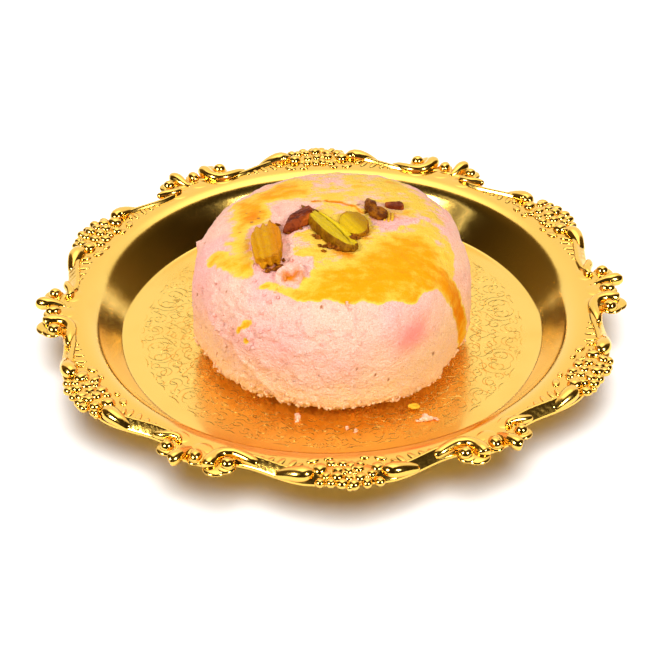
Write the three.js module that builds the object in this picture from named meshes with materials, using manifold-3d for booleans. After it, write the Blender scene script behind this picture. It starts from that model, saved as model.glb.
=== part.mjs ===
// A round gold sweet tray with a scrolled, berried rim, holding one puck of pink
// cham cham strewn with pistachio. Millimetres, +Z up, origin at the centre of the
// tray's flat underside, and the middle of one berry cluster exactly at -Y.
import * as THREE from 'three';
import { mergeVertices } from 'three/addons/utils/BufferGeometryUtils.js';
import Module from 'manifold-3d';

const wasm = await Module();
wasm.setup();

// ---- driving dimensions ------------------------------------------------------

const SHELL = 1.2;                 // thickness of the pressed tray's well
const RIM_SHELL = 1.0;             // thickness of its rim
const FLOOR_RADIUS = 44.8;         // flat floor of the well
const RIM_Z = 9.1;                 // top of the flat rim band
const LIP_START = 55.2;            // where the rim band starts to roll into the well
const LIP_RADIUS = 6.0;            // the rounded lip
const WALL_ANGLE = 55;             // slope of the well's wall, degrees
const SKIRT_DROP = 1.5;            // height of the turned-down edge
const SKIRT_WALL = 0.9;            // thickness of the turned-down edge
const FOOT_FILLET = 0.9;           // rise of the bevel where the wall meets the floor
const SECTOR = 60;                 // a cluster and a scroll in every 60 degrees

const EDGE_AT_CLUSTER = 61.9;      // outline of the tray at a berry cluster
const EDGE_AT_WAIST = 58.7;        // between the rail and the scroll
const EDGE_AT_SCROLL = 61.2;       // under the scroll ornament
const RAIL_WIDTH = 2.2;            // the raised rail along the edge
const RAIL_RISE = 0.75;
const RAIL_BEVEL = 0.3;            // slant of the rail's two sides

const BERRY_DIAMETER = 2.2;
const BERRY_PITCH = 2.5;           // between neighbours of a row, the rows being staggered
const BERRY_ROWS = [               // radius of each row, berries in it, lift of the mound
  { radius: 56.4, count: 4, lift: 0.05 },
  { radius: 58.3, count: 5, lift: 0.30 },
  { radius: 60.2, count: 4, lift: 0.45 },
  { radius: 62.1, count: 5, lift: 0.15 },
];

// The scroll's C-shaped arm and tongue, as [degrees from the scroll's middle, radius].
const ARM = [[8, 57.2], [5, 57.0], [2.7, 58.6], [2.5, 61.0], [3.2, 62.6]];
const ARM_WIDTH = 2.4;
const ARM_HEIGHT = 2.2;
const SCROLL_BALLS = [             // degrees from the middle, radius, diameter
  { along: 6.7, radius: 60.4, diameter: 2.8 },
  { along: 0, radius: 60.0, diameter: 2.1 },
  { along: -6.0, radius: 60.9, diameter: 3.0 },
];
const ARM_END = { along: 3.6, radius: 62.7, length: 3.9, width: 3.2, height: 3.0, turned: 10 };
const TONGUE = { along: -3.2, radius: 61.0, length: 2.8, width: 6.4, height: 3.0, turned: 16 };
const HUMP = { along: 9, radius: 60.2, length: 3.8, width: 5.4, height: 3.0, turned: 14 };

const SWEET_RADIUS = 29.7;         // at its widest, the belly
const SWEET_HEIGHT = 30.3;
const SWEET_BELLY = 9.0;           // height of the belly above the foot
const SWEET_CENTRE = new THREE.Vector2(-0.1, -2.8);
const SHOULDER_ROUNDNESS = 3.3;    // 2 is a round shoulder, and more is squarer
const FOOT_ROUNDNESS = 5.2;
const CREASE = { azimuth: -24, width: 5, depth: 0.9 };
const GAP = 0.3;                   // air between pieces that touch

// ---- materials ---------------------------------------------------------------

const finish = (color, roughness, metalness = 0) =>
  new THREE.MeshStandardMaterial({ color, roughness, metalness });

const gold = () => finish(0xf2c462, 0.12, 1);
const curd = () => finish(0xf3c8c4, 0.7);
const pistachioGreen = () => finish(0xb4bb35, 0.5);
const pistachioOchre = () => finish(0xc79a1c, 0.5);
const pistachioSkin = () => finish(0x6d3338, 0.6);

// ---- small helpers -----------------------------------------------------------

const radians = THREE.MathUtils.degToRad;
const polar = (azimuth, radius, z) => new THREE.Vector3(
  radius * Math.cos(radians(azimuth)), radius * Math.sin(radians(azimuth)), z);
const smooth = (from, to, x) => THREE.MathUtils.smoothstep(x, from, to);
const mix = THREE.MathUtils.lerp;

function solidOf(geometry) {
  const bare = geometry.clone();
  bare.deleteAttribute('normal');
  bare.deleteAttribute('uv');
  const merged = mergeVertices(bare, 1e-4);
  return new wasm.Manifold(new wasm.Mesh({
    numProp: 3,
    vertProperties: new Float32Array(merged.attributes.position.array),
    triVerts: new Uint32Array(merged.index.array),
  }));
}

function geometryOf(solid) {
  const mesh = solid.getMesh();
  const geometry = new THREE.BufferGeometry();
  const positions = new Float32Array(mesh.numVert * 3);
  for (let vertex = 0; vertex < mesh.numVert; vertex += 1) {
    for (let axis = 0; axis < 3; axis += 1) {
      positions[vertex * 3 + axis] = mesh.vertProperties[vertex * mesh.numProp + axis];
    }
  }
  geometry.setAttribute('position', new THREE.BufferAttribute(positions, 3));
  geometry.setIndex(new THREE.BufferAttribute(new Uint32Array(mesh.triVerts), 1));
  geometry.computeVertexNormals();
  return geometry;
}

const joinAll = (geometries) => geometries
  .map(solidOf)
  .reduce((whole, piece) => whole.add(piece));

// ---- tray --------------------------------------------------------------------

// Degrees from the nearest berry cluster: 0 at a cluster, 30 at a scroll.
function fromCluster(azimuth) {
  const turned = THREE.MathUtils.euclideanModulo(azimuth - 30, SECTOR);
  return Math.min(turned, SECTOR - turned);
}

// The outline swells at each cluster and each scroll, with a waist between them.
function edgeRadius(azimuth) {
  const away = fromCluster(azimuth);
  const rail = mix(EDGE_AT_CLUSTER, EDGE_AT_WAIST, smooth(7, 20.5, away));
  return mix(rail, EDGE_AT_SCROLL, smooth(22, 25.5, away));
}

// Half section of the shell, as (radius, z), from the middle of the underside
// out, round the turned-down edge and back over the rim into the well.
function shellProfile() {
  const slope = radians(WALL_ANGLE);
  const lipZ = RIM_Z - LIP_RADIUS;
  const lip = (angle, offset = 0) => new THREE.Vector2(
    LIP_START - (LIP_RADIUS - offset) * Math.sin(radians(angle)),
    lipZ + (LIP_RADIUS - offset) * Math.cos(radians(angle)));
  const wallFoot = (z) => {
    const top = lip(WALL_ANGLE);
    return new THREE.Vector2(top.x - (top.y - z) / Math.tan(slope), z);
  };
  const point = (radius, z) => new THREE.Vector2(radius, z);
  const through = point(SHELL * Math.sin(slope), -SHELL * Math.cos(slope));
  const edge = EDGE_AT_CLUSTER;
  const skirtZ = RIM_Z - SKIRT_DROP;
  const underRim = RIM_Z - RIM_SHELL;
  const railTop = RIM_Z + RAIL_RISE;
  return [
    point(0, 0),
    point(FLOOR_RADIUS + FOOT_FILLET, 0),
    wallFoot(SHELL + FOOT_FILLET).add(through),
    lip(WALL_ANGLE, SHELL),
    lip(25, SHELL),
    point(LIP_START + 0.6, underRim),
    point(edge - SKIRT_WALL - 0.2, underRim),
    point(edge - SKIRT_WALL, skirtZ),
    point(edge, skirtZ),
    point(edge - RAIL_BEVEL, RIM_Z),
    point(edge - 0.35 * RAIL_WIDTH, railTop),
    point(edge - 0.7 * RAIL_WIDTH, railTop),
    point(edge - RAIL_WIDTH - RAIL_BEVEL, RIM_Z),
    point(LIP_START, RIM_Z),
    lip(18),
    lip(37),
    lip(WALL_ANGLE),
    wallFoot(SHELL + FOOT_FILLET),
    point(FLOOR_RADIUS, SHELL),
    point(0, SHELL),
  ];
}

// A turned shell whose outer part is then stretched in or out to the outline.
function trayShell() {
  const geometry = new THREE.LatheGeometry(shellProfile(), 72);
  geometry.rotateX(Math.PI / 2);
  const position = geometry.attributes.position;
  for (let i = 0; i < position.count; i += 1) {
    const x = position.getX(i);
    const y = position.getY(i);
    const radius = Math.hypot(x, y);
    if (radius > LIP_START + 0.1) {
      const azimuth = THREE.MathUtils.radToDeg(Math.atan2(y, x));
      const share = (radius - LIP_START) / (EDGE_AT_CLUSTER - LIP_START);
      const moved = LIP_START + share * (edgeRadius(azimuth) - LIP_START);
      position.setXY(i, x * moved / radius, y * moved / radius);
    }
  }
  return geometry;
}

// A faceted ball with its poles up and down, so that half of it stands out of the rim.
function ball(centre, diameter) {
  const geometry = new THREE.SphereGeometry(diameter / 2, 6, 3);
  geometry.rotateX(Math.PI / 2);
  geometry.translate(centre.x, centre.y, centre.z);
  return geometry;
}

// An oval lump lying in the rim, its long side turned away from the outline.
function lump(azimuth, side, shape) {
  const geometry = new THREE.SphereGeometry(0.5, 8, 3);
  geometry.rotateX(Math.PI / 2);
  geometry.scale(shape.width, shape.length, shape.height);
  geometry.rotateZ(radians(side * shape.turned));
  geometry.translate(shape.radius, 0, RIM_Z + 0.1);
  geometry.rotateZ(radians(azimuth + side * shape.along));
  return geometry;
}

// A bar of oval section swept through the given points.
function bar(points, width, height) {
  const sides = 5;
  const corners = [];
  for (let corner = 0; corner < sides; corner += 1) {
    const angle = (corner + 0.5) * 2 * Math.PI / sides;
    corners.push(new THREE.Vector2(Math.cos(angle) * height / 2, Math.sin(angle) * width / 2));
  }
  return new THREE.ExtrudeGeometry(new THREE.Shape(corners), {
    steps: points.length,
    bevelEnabled: false,
    extrudePath: new THREE.CatmullRomCurve3(points),
  });
}

function berryCluster(azimuth) {
  const pieces = [];
  const pitch = THREE.MathUtils.radToDeg(BERRY_PITCH / LIP_START);
  for (const row of BERRY_ROWS) {
    for (let i = 0; i < row.count; i += 1) {
      const offset = (i - (row.count - 1) / 2) * pitch;
      pieces.push(ball(polar(azimuth + offset, row.radius, RIM_Z + row.lift), BERRY_DIAMETER));
    }
  }
  return pieces;
}

// The scroll: a C-shaped arm round its ball on one side, a tongue and a ball on the other.
function scroll(azimuth, side) {
  const at = (along, radius) => polar(azimuth + side * along, radius, RIM_Z + 0.3);
  const arm = ARM.map(([along, radius]) => at(along, radius));
  return [
    bar(arm, ARM_WIDTH, ARM_HEIGHT),
    lump(azimuth, side, ARM_END),
    lump(azimuth, side, TONGUE),
    ...SCROLL_BALLS.map(({ along, radius, diameter }) => ball(at(along, radius), diameter)),
  ];
}

const CLUSTERS = [30, 90, 150, 210, 270, 330];
// Side of each scroll on which its C-shaped arm lies: a mirror image about the YZ plane.
const SCROLLS = [
  { azimuth: 0, side: -1 },
  { azimuth: 60, side: 1 },
  { azimuth: 120, side: -1 },
  { azimuth: 180, side: 1 },
  { azimuth: 240, side: 1 },
  { azimuth: 300, side: -1 },
];

function tray() {
  const pieces = [trayShell()];
  for (const azimuth of CLUSTERS) {
    // The rail ends beside the berries in a round hump that hooks inwards.
    pieces.push(...berryCluster(azimuth), lump(azimuth, -1, HUMP), lump(azimuth, 1, HUMP));
  }
  for (const { azimuth, side } of SCROLLS) {
    pieces.push(...scroll(azimuth, side));
  }
  return geometryOf(joinAll(pieces));
}

// ---- the sweet ---------------------------------------------------------------

// Low swells of the outline, as waves round the puck: [waves, size, phase in degrees].
const OUTLINE_WAVES = [[3, 0.15, 200], [5, 0.20, 60], [9, 0.20, 120], [17, 0.16, 40]];
// Broader swells and hollows: [azimuth, width in degrees, size].
const OUTLINE_SWELLS = [[-58, 24, 0.8], [195, 30, -0.3], [140, 25, -0.4], [35, 30, 0.5]];
const TOP_WAVES = [[1, 0.30, 80], [2, 0.35, 150], [3, 0.30, 20]];
const waves = (list, azimuth) => list.reduce(
  (sum, [count, size, phase]) => sum + size * Math.cos(radians(count * azimuth + phase)), 0);

// Degrees from one azimuth to another, the short way round.
const turn = (azimuth, from) => THREE.MathUtils.euclideanModulo(azimuth - from + 180, 360) - 180;

// A gentle bump or dent of the surface round one place.
const bump = (distance, width) => Math.exp(-((distance / width) ** 2));

// Surface of the puck: azimuth in degrees, and share from the middle of the underside (0)
// by the belly (0.5) to the middle of the top (1). Outset moves it outwards.
function sweetPoint(azimuth, share, outset = 0) {
  const upper = share > 0.5;
  const angle = (share - 0.5) * Math.PI;
  const squarer = 0.6 * bump(turn(azimuth, 180), 40) + 0.8 * bump(turn(azimuth, 40), 45);
  const roundness = upper ? SHOULDER_ROUNDNESS + squarer : FOOT_ROUNDNESS;
  const reach = Math.abs(Math.cos(angle)) ** (2 / roundness);
  const climb = Math.abs(Math.sin(angle)) ** (2 / roundness);
  const flare = upper ? 1 : 1 + 0.6 * climb;
  let radius = SWEET_RADIUS + waves(OUTLINE_WAVES, azimuth) * flare;
  for (const [centre, width, size] of OUTLINE_SWELLS) {
    radius += size * bump(turn(azimuth, centre), width);
  }
  radius -= CREASE.depth * bump(turn(azimuth, CREASE.azimuth), CREASE.width) * reach;
  const foot = SHELL + GAP;
  const belly = foot + SWEET_BELLY;
  const top = SWEET_HEIGHT - SWEET_BELLY;
  const z = upper ? belly + climb * top : belly - climb * SWEET_BELLY;
  const ripple = upper ? climb * reach * waves(TOP_WAVES, azimuth) : 0;
  const r = reach * (radius + outset);
  return new THREE.Vector3(
    SWEET_CENTRE.x + r * Math.cos(radians(azimuth)),
    SWEET_CENTRE.y + r * Math.sin(radians(azimuth)),
    z + ripple + outset * (upper ? climb : -climb));
}

// A closed skin over rings of points, each ring a turn of the same azimuths.
function sweet(outset = 0) {
  const AROUND = 60;
  const shares = [0, 0.10, 0.20, 0.27, 0.34, 0.42, 0.5, 0.57, 0.64, 0.70, 0.76, 0.82, 0.88, 0.94, 1];
  const positions = [];
  const index = [];
  const last = shares.length - 1;
  shares.forEach((share, ring) => {
    const turns = ring === 0 || ring === last ? 1 : AROUND;
    for (let i = 0; i < turns; i += 1) {
      positions.push(...sweetPoint(i * 360 / AROUND, share, outset).toArray());
    }
  });
  const at = (ring, i) => (ring === 0 ? 0 : 1 + (ring - 1) * AROUND + i % AROUND);
  const apex = positions.length / 3 - 1;
  for (let i = 0; i < AROUND; i += 1) {
    index.push(0, at(1, i + 1), at(1, i));
    for (let ring = 1; ring < last - 1; ring += 1) {
      index.push(at(ring, i), at(ring, i + 1), at(ring + 1, i + 1));
      index.push(at(ring, i), at(ring + 1, i + 1), at(ring + 1, i));
    }
    index.push(at(last - 1, i), at(last - 1, i + 1), apex);
  }
  const geometry = new THREE.BufferGeometry();
  geometry.setAttribute('position', new THREE.Float32BufferAttribute(positions, 3));
  geometry.setIndex(index);
  return geometry;
}

// ---- pistachio ---------------------------------------------------------------

// Each piece of kernel: its size, the middle of its cut face or back, and how it lies.
// Heading turns its length from +Y, roll tips it sideways and pitch lengthways.
const SLIVER = {
  length: 20.4, width: 5.7, height: 5.8, cut: 0.25, taper: -0.36,
  place: [-0.9, -6.8, 32.6], heading: 29, roll: 14, pitch: 0,
};
const HALF = {
  length: 8.8, width: 5.4, height: 5.4, cut: 0.5, taper: 0.1,
  place: [4.9, -6.2, 32.4], heading: 24, roll: -6, pitch: 0,
};
const WEDGE = {
  length: 8.6, width: 3.7, height: 4.4, cut: 0.7, taper: 0.4,
  place: [-6.9, -3.9, 32.2], heading: -42, roll: -10, pitch: 4,
};
const CHUNK = {
  length: 14.4, width: 6.3, height: 4.8, cut: 0.6, taper: 0, square: 3.4,
  place: [-13.7, -11.4, 31.8], heading: 3, roll: -8, pitch: -3,
};
const LOBES = [
  {
    length: 4.4, width: 2.6, height: 3.0, cut: 0.8, taper: 0,
    place: [8.7, 0.8, 32.2], heading: 10, roll: 0, pitch: 0,
  },
  {
    length: 4.6, width: 3.0, height: 3.2, cut: 0.8, taper: 0,
    place: [10.0, -2.0, 32.3], heading: 35, roll: 0, pitch: 0,
  },
];
const FLAKE = {
  length: 3.9, width: 1.9, height: 2.4, cut: 0.5, taper: 0.2,
  place: [13.8, 1.5, 31.7], heading: -98, roll: 0, pitch: 3,
};

// A pointed or squared lump with a flat cut across its top.
function kernel(piece, outset = 0) {
  const geometry = new THREE.SphereGeometry(1, 12, 8);
  const position = geometry.attributes.position;
  const power = 2 / (piece.square ?? 2);
  const rounded = (value) => Math.sign(value) * Math.abs(value) ** power;
  for (let i = 0; i < position.count; i += 1) {
    const along = rounded(position.getY(i));
    const narrowing = 1 + piece.taper * along;
    const x = rounded(position.getX(i)) * narrowing;
    const z = Math.min(rounded(position.getZ(i)) * narrowing, piece.cut);
    position.setXYZ(
      i,
      x * (piece.width / 2 + outset),
      along * (piece.length / 2 + outset),
      z * (piece.height / 2 + outset));
  }
  geometry.rotateY(radians(piece.roll));
  geometry.rotateX(radians(piece.pitch));
  geometry.rotateZ(radians(piece.heading));
  geometry.translate(...piece.place);
  return geometry;
}

// Kernels lie on the sweet and against one another without touching.
function lying(pieces, neighbours = []) {
  const bed = [sweet(GAP), ...neighbours.map((neighbour) => kernel(neighbour, GAP))];
  const solid = joinAll(pieces.map((piece) => kernel(piece)));
  return geometryOf(bed.map(solidOf).reduce((rest, piece) => rest.subtract(piece), solid));
}

// ---- the whole ---------------------------------------------------------------

const group = new THREE.Group();

function add(name, geometry, material) {
  const mesh = new THREE.Mesh(geometry, material);
  mesh.name = name;
  group.add(mesh);
  return mesh;
}

add('tray', tray(), gold());
add('cham_cham', sweet(), curd());
add('pistachio_sliver', lying([SLIVER]), pistachioGreen());
add('pistachio_half', lying([HALF], [SLIVER]), pistachioGreen());
add('pistachio_wedge', lying([WEDGE], [SLIVER]), pistachioSkin());
add('pistachio_chunk', lying([CHUNK]), pistachioOchre());
add('pistachio_lobes', lying(LOBES), pistachioSkin());
add('pistachio_flake', lying([FLAKE]), pistachioSkin());

export default group;
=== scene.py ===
"""Looks of a plate of cham cham: a gilt sweet tray with a scrolled, berried rim, one round
pink curd sweet with yellow syrup, slivers and chunks of pistachio, and a few crumbs."""

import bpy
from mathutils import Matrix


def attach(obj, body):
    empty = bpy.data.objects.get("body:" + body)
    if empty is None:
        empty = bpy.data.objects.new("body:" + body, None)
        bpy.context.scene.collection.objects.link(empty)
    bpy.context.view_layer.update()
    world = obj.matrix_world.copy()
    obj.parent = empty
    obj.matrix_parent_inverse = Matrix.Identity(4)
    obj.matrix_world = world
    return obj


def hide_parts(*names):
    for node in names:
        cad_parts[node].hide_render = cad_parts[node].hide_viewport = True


bl_info = {
    "name": "Plate of Cham Cham",
    "version": (1, 0, 0),
    "blender": (4, 5, 0),
    "location": "3D View > Sidebar > Cham Cham",
    "description": "Builds the looks of a cham cham sweet on its gilt tray",
    "category": "Mesh",
}

from itertools import product
from math import cos, radians, sin
from types import SimpleNamespace

import bpy
import numpy as np
from bpy.props import FloatProperty, FloatVectorProperty, IntProperty, PointerProperty
from bpy.types import Operator, Panel, PropertyGroup
from mathutils import Matrix, Vector

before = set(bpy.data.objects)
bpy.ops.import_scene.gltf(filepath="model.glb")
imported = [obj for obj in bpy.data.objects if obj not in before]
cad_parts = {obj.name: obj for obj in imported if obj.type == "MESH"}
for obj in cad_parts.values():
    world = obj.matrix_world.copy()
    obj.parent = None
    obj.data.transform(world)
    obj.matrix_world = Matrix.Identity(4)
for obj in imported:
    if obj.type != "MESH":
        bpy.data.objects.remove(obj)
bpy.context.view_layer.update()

# ---- measures shared with the part's source, in millimetres and degrees -------------

MM = 0.001
SHELL = 1.2
RIM_SHELL = 1.0
FLOOR_RADIUS = 44.8
RIM_Z = 9.1
LIP_START = 55.2
LIP_RADIUS = 6.0
WALL_ANGLE = 55
SKIRT_DROP = 1.5
SKIRT_WALL = 0.9
FOOT_FILLET = 0.9
SECTOR = 60
EDGE_AT_CLUSTER = 61.9
EDGE_AT_WAIST = 58.7
EDGE_AT_SCROLL = 61.2
RAIL_WIDTH = 3.05
CLUSTERS = (30, 90, 150, 210, 270, 330)
SCROLLS = ((0, -1), (60, 1), (120, -1), (180, 1), (240, 1), (300, -1))

SWEET_RADIUS = 29.7
SWEET_HEIGHT = 30.3
SWEET_BELLY = 9.0
SWEET_CENTRE = (-0.1, -2.8)
SHOULDER_ROUNDNESS = 3.3
FOOT_ROUNDNESS = 5.2
CREASE_AZIMUTH = -24
GAP = 0.3
OUTLINE_WAVES = ((3, 0.15, 200), (5, 0.20, 60), (9, 0.20, 120), (17, 0.16, 40))
OUTLINE_SWELLS = ((-58, 24, 0.8), (195, 30, -0.3), (140, 25, -0.4), (35, 30, 0.5))
TOP_WAVES = ((1, 0.30, 80), (2, 0.35, 150), (3, 0.30, 20))
# Points round the tray.
TRAY_TURNS = 640
# A number larger than any distance in the scene.
FAR = 1e9


# ---- small numeric helpers ----------------------------------------------------------


def smooth_step(low, high, value):
    share = np.clip((value - low) / (high - low), 0, 1)
    return share * share * (3 - 2 * share)


def mix(a, b, share):
    return a + (b - a) * share


def turn(azimuth, start):
    """Degrees from one azimuth to another, the short way round."""
    return (azimuth - start + 180) % 360 - 180


def bump(distance, width):
    return np.exp(-((distance / width) ** 2))


def spot(u, v, centre, width, stretch=(1, 1)):
    """A soft round or oval spot on a flat map, 1 in its middle."""
    return bump(np.hypot((u - centre[0]) * stretch[0], (v - centre[1]) * stretch[1]), width)


def spots(u, v, rows):
    return sum(strength * spot(u, v, *shape) for strength, *shape in rows)


def waves(series, azimuth):
    return sum(size * np.cos(np.radians(count * azimuth + phase)) for count, size, phase in series)


def unit(vectors, least=0.0):
    """Vectors with the same directions and a length of 1."""
    return vectors / (np.linalg.norm(vectors, axis=-1, keepdims=True) + least)


def lattice_noise(points, cell, seed):
    """Smooth random values from -1 to 1, with features of about one cell."""
    lattice = 64
    table = np.random.default_rng(seed).uniform(-1, 1, (lattice,) * 3)
    scaled = np.asarray(points, float) / cell + 1000
    base = np.floor(scaled).astype(int)
    part = scaled - base
    part = part * part * (3 - 2 * part)
    value = 0
    for steps in product((0, 1), repeat=3):
        corner = table[tuple((base[..., axis] + step) % lattice for axis, step in enumerate(steps))]
        weight = 1
        for axis, step in enumerate(steps):
            weight = weight * (part[..., axis] if step else 1 - part[..., axis])
        value = value + corner * weight
    return value


def grain(points, cell, seed):
    """Rounded grains of about one cell: 1 at the middle of a grain and 0 between grains."""
    block = 32
    places = np.random.default_rng(seed).uniform(0.1, 0.9, (block, block, block, 3))
    scaled = np.asarray(points, float) / cell + 1024
    base = np.floor(scaled).astype(int)
    nearest = np.full(scaled.shape[:-1], FAR)
    for steps in product((-1, 0, 1), repeat=3):
        neighbour = base + np.array(steps)
        place = neighbour + places[tuple(np.moveaxis(neighbour % block, -1, 0))]
        nearest = np.minimum(nearest, ((place - scaled) ** 2).sum(-1))
    return np.sqrt(np.clip(1 - nearest / 0.75, 0, 1))


def segment_distance(u, v, start, end):
    """Distance of flat points from the straight line between two places."""
    (ax, ay), (ex, ey) = start, (end[0] - start[0], end[1] - start[1])
    along = np.clip(((u - ax) * ex + (v - ay) * ey) / (ex * ex + ey * ey), 0, 1)
    return np.hypot(u - ax - along * ex, v - ay - along * ey)


def inside_depth(u, v, outline):
    """How far a flat point lies inside a closed outline, negative outside it."""
    nearest = np.full(u.shape, FAR)
    inside = np.zeros(u.shape, bool)
    for (ax, ay), (bx, by) in zip(outline, outline[1:] + outline[:1]):
        nearest = np.minimum(nearest, segment_distance(u, v, (ax, ay), (bx, by)))
        # The last addend keeps a level side from a division by zero.
        inside ^= ((ay > v) != (by > v)) & (u < (bx - ax) * (v - ay) / (by - ay + 1e-12) + ax)
    return np.where(inside, nearest, -nearest)


def line_distance(u, v, line):
    """Distance of flat points from an open line, and on which side of it they lie."""
    nearest, side = np.full(u.shape, FAR), np.zeros(u.shape)
    for (ax, ay), (bx, by) in zip(line[:-1], line[1:]):
        distance = segment_distance(u, v, (ax, ay), (bx, by))
        here = np.sign((bx - ax) * (v - ay) - (by - ay) * (u - ax))
        side = np.where(distance < nearest, here, side)
        nearest = np.minimum(nearest, distance)
    return nearest, side


# ---- mesh helpers -------------------------------------------------------------------


class Stock:
    """Collects the parts of one mesh, in millimetres."""

    def __init__(self):
        self.points = []
        self.faces = []
        self.count = 0

    def add(self, points, faces):
        points = np.asarray(points, float).reshape(-1, 3)
        self.faces.extend(tuple(int(i) + self.count for i in face) for face in faces)
        self.points.append(points)
        self.count += len(points)

    def piece(self, name, materials, sharp=60):
        mesh = bpy.data.meshes.new(name)
        mesh.from_pydata((np.concatenate(self.points) * MM).tolist(), [], self.faces)
        mesh.validate()
        mesh.polygons.foreach_set("use_smooth", [True] * len(mesh.polygons))
        mesh.set_sharp_from_angle(angle=radians(sharp))
        for material in materials:
            mesh.materials.append(material)
        piece = bpy.data.objects.new(name, mesh)
        bpy.context.scene.collection.objects.link(piece)
        return piece


def paint(piece, values):
    for name, value in values.items():
        layer = piece.data.attributes.new(name, "FLOAT", "POINT")
        layer.data.foreach_set("value", np.ascontiguousarray(value, np.float32).ravel())


def grid_faces(rows, turns, closed=True):
    faces = []
    for row in range(rows - 1):
        for i in range(turns if closed else turns - 1):
            j = (i + 1) % turns
            faces.append((row * turns + i, row * turns + j, (row + 1) * turns + j, (row + 1) * turns + i))
    return faces


def tube_faces(rows, turns):
    """Faces of a tube of closed rows, with one face at each end."""
    last = (rows - 1) * turns
    return grid_faces(rows, turns) + [tuple(reversed(range(turns))), tuple(last + i for i in range(turns))]


def pole_faces(rows, turns):
    """Faces of closed rows between two poles, whose points come last."""
    faces, last, pole = grid_faces(rows, turns), (rows - 1) * turns, rows * turns
    for i in range(turns):
        j = (i + 1) % turns
        faces.append((pole, j, i))
        faces.append((pole + 1, last + i, last + j))
    return faces


def sphere_angles(around, rings):
    """Azimuths and polar angles of the points of a ball between its poles, in radians."""
    angle = np.linspace(0, 2 * np.pi, around, endpoint=False)
    return np.meshgrid(angle, np.linspace(0, np.pi, rings + 1)[1:-1])


def ball(centre, diameter, around=20, rings=12, stretch=(1, 1, 1), heading=0):
    """A smooth ball or oval lump, as points and faces."""
    flat, tall = sphere_angles(around, rings)
    points = np.stack([np.sin(tall) * np.cos(flat), np.sin(tall) * np.sin(flat), np.cos(tall)], -1)
    points = np.concatenate([points.reshape(-1, 3), [[0, 0, 1], [0, 0, -1]]])
    points = points * diameter / 2 * np.array(stretch)
    c, s = cos(radians(heading)), sin(radians(heading))
    points = points @ np.array([[c, s, 0], [-s, c, 0], [0, 0, 1]])
    return points + np.array(centre), [tuple(reversed(face)) for face in pole_faces(rings - 1, around)]


def curve_through(points, steps):
    """A Catmull-Rom curve through the points, evenly in parameter."""
    points = np.array(points, float)
    padded = np.concatenate([[2 * points[0] - points[1]], points, [2 * points[-1] - points[-2]]])
    out = []
    for t in np.linspace(0, len(points) - 1 - 1e-9, steps):
        k = int(t)
        f = t - k
        p0, p1, p2, p3 = padded[k:k + 4]
        out.append(0.5 * (2 * p1 + (p2 - p0) * f + (2 * p0 - 5 * p1 + 4 * p2 - p3) * f ** 2
                          + (3 * p1 - p0 - 3 * p2 + p3) * f ** 3))
    return np.array(out)


def roll_of_metal(points, radii, sides=12, steps=28, height=1.0):
    """A round-ended bar swept through points, its radius running through the given radii."""
    path = curve_through(points, steps)
    size = curve_through([[radius, 0, 0] for radius in radii], steps)[:, 0]
    share = np.linspace(0, 1, steps)
    cap = 2.2 / steps
    ends = np.sqrt(np.clip(1 - (1 - np.minimum(share, 1 - share) / cap).clip(0, 1) ** 2, 0.02, 1))
    size = (size * ends)[:, None, None]
    along = unit(np.gradient(path, axis=0))
    across = unit(np.cross(along, [0, 0, 1.0]))
    upward = np.cross(across, along)
    angle = np.linspace(0, 2 * np.pi, sides, endpoint=False)[None, :, None]
    rings = (path[:, None] + across[:, None] * (np.cos(angle) * size)
             + upward[:, None] * (np.sin(angle) * size * height))
    return rings.reshape(-1, 3), tube_faces(steps, sides)


def polar(azimuth, radius, z):
    angle = np.radians(azimuth)
    return np.stack([radius * np.cos(angle), radius * np.sin(angle), z + 0 * angle], -1)


# ---- material helpers ---------------------------------------------------------------


def srgb(red, green, blue):
    """A colour as it looks on screen, from 0 to 255, as the linear values that shaders take."""
    values = []
    for value in (red, green, blue):
        share = value / 255
        values.append(share / 12.92 if share <= 0.04045 else ((share + 0.055) / 1.055) ** 2.4)
    return (*values, 1.0)


class Wire:
    """The output of a node. Sums and products of wires and numbers are nodes again."""

    def __init__(self, nodes, socket):
        self.nodes = nodes
        self.socket = socket

    def __add__(self, other):
        return self.nodes.maths("ADD", self, other)

    def __sub__(self, other):
        return self.nodes.maths("SUBTRACT", self, other)

    def __rsub__(self, other):
        return self.nodes.maths("SUBTRACT", other, self)

    def __mul__(self, other):
        return self.nodes.maths("MULTIPLY", self, other)


class Nodes:
    """The node tree of a material or a world, built up a node at a time."""

    def __init__(self, owner):
        owner.use_nodes = True
        self.tree = owner.node_tree
        self.tree.nodes.clear()

    def put(self, socket, value):
        if isinstance(value, Wire):
            self.tree.links.new(value.socket, socket)
        else:
            socket.default_value = value

    def node(self, kind, output, inputs=(), **options):
        """Adds a node with the given options and inputs, and returns one of its outputs."""
        node = self.tree.nodes.new("ShaderNode" + kind)
        for name, option in options.items():
            setattr(node, name, option)
        for key, value in dict(inputs).items():
            self.put(node.inputs[key], value)
        return Wire(self, node.outputs[output])

    def maths(self, operation, a, b=0.0):
        return self.node("Math", 0, {0: a, 1: b}, operation=operation)

    def largest(self, first, *others):
        for other in others:
            first = self.maths("MAXIMUM", first, other)
        return first

    def span(self, value, low, high, to_low=0.0, to_high=1.0):
        """How far the value is from low to high, eased, as a value from to_low to to_high."""
        return self.node("MapRange", "Result", {
            "Value": value, "From Min": low, "From Max": high, "To Min": to_low, "To Max": to_high,
        }, interpolation_type="SMOOTHSTEP")

    def blend(self, share, a, b):
        """A colour between two colours. The sockets are those for colours."""
        return self.node("Mix", 2, {0: share, 6: a, 7: b}, data_type="RGBA")

    def layered(self, colour, *layers):
        """A colour with others laid over it, each with its own share."""
        for share, over in layers:
            colour = self.blend(share, colour, over)
        return colour


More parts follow.
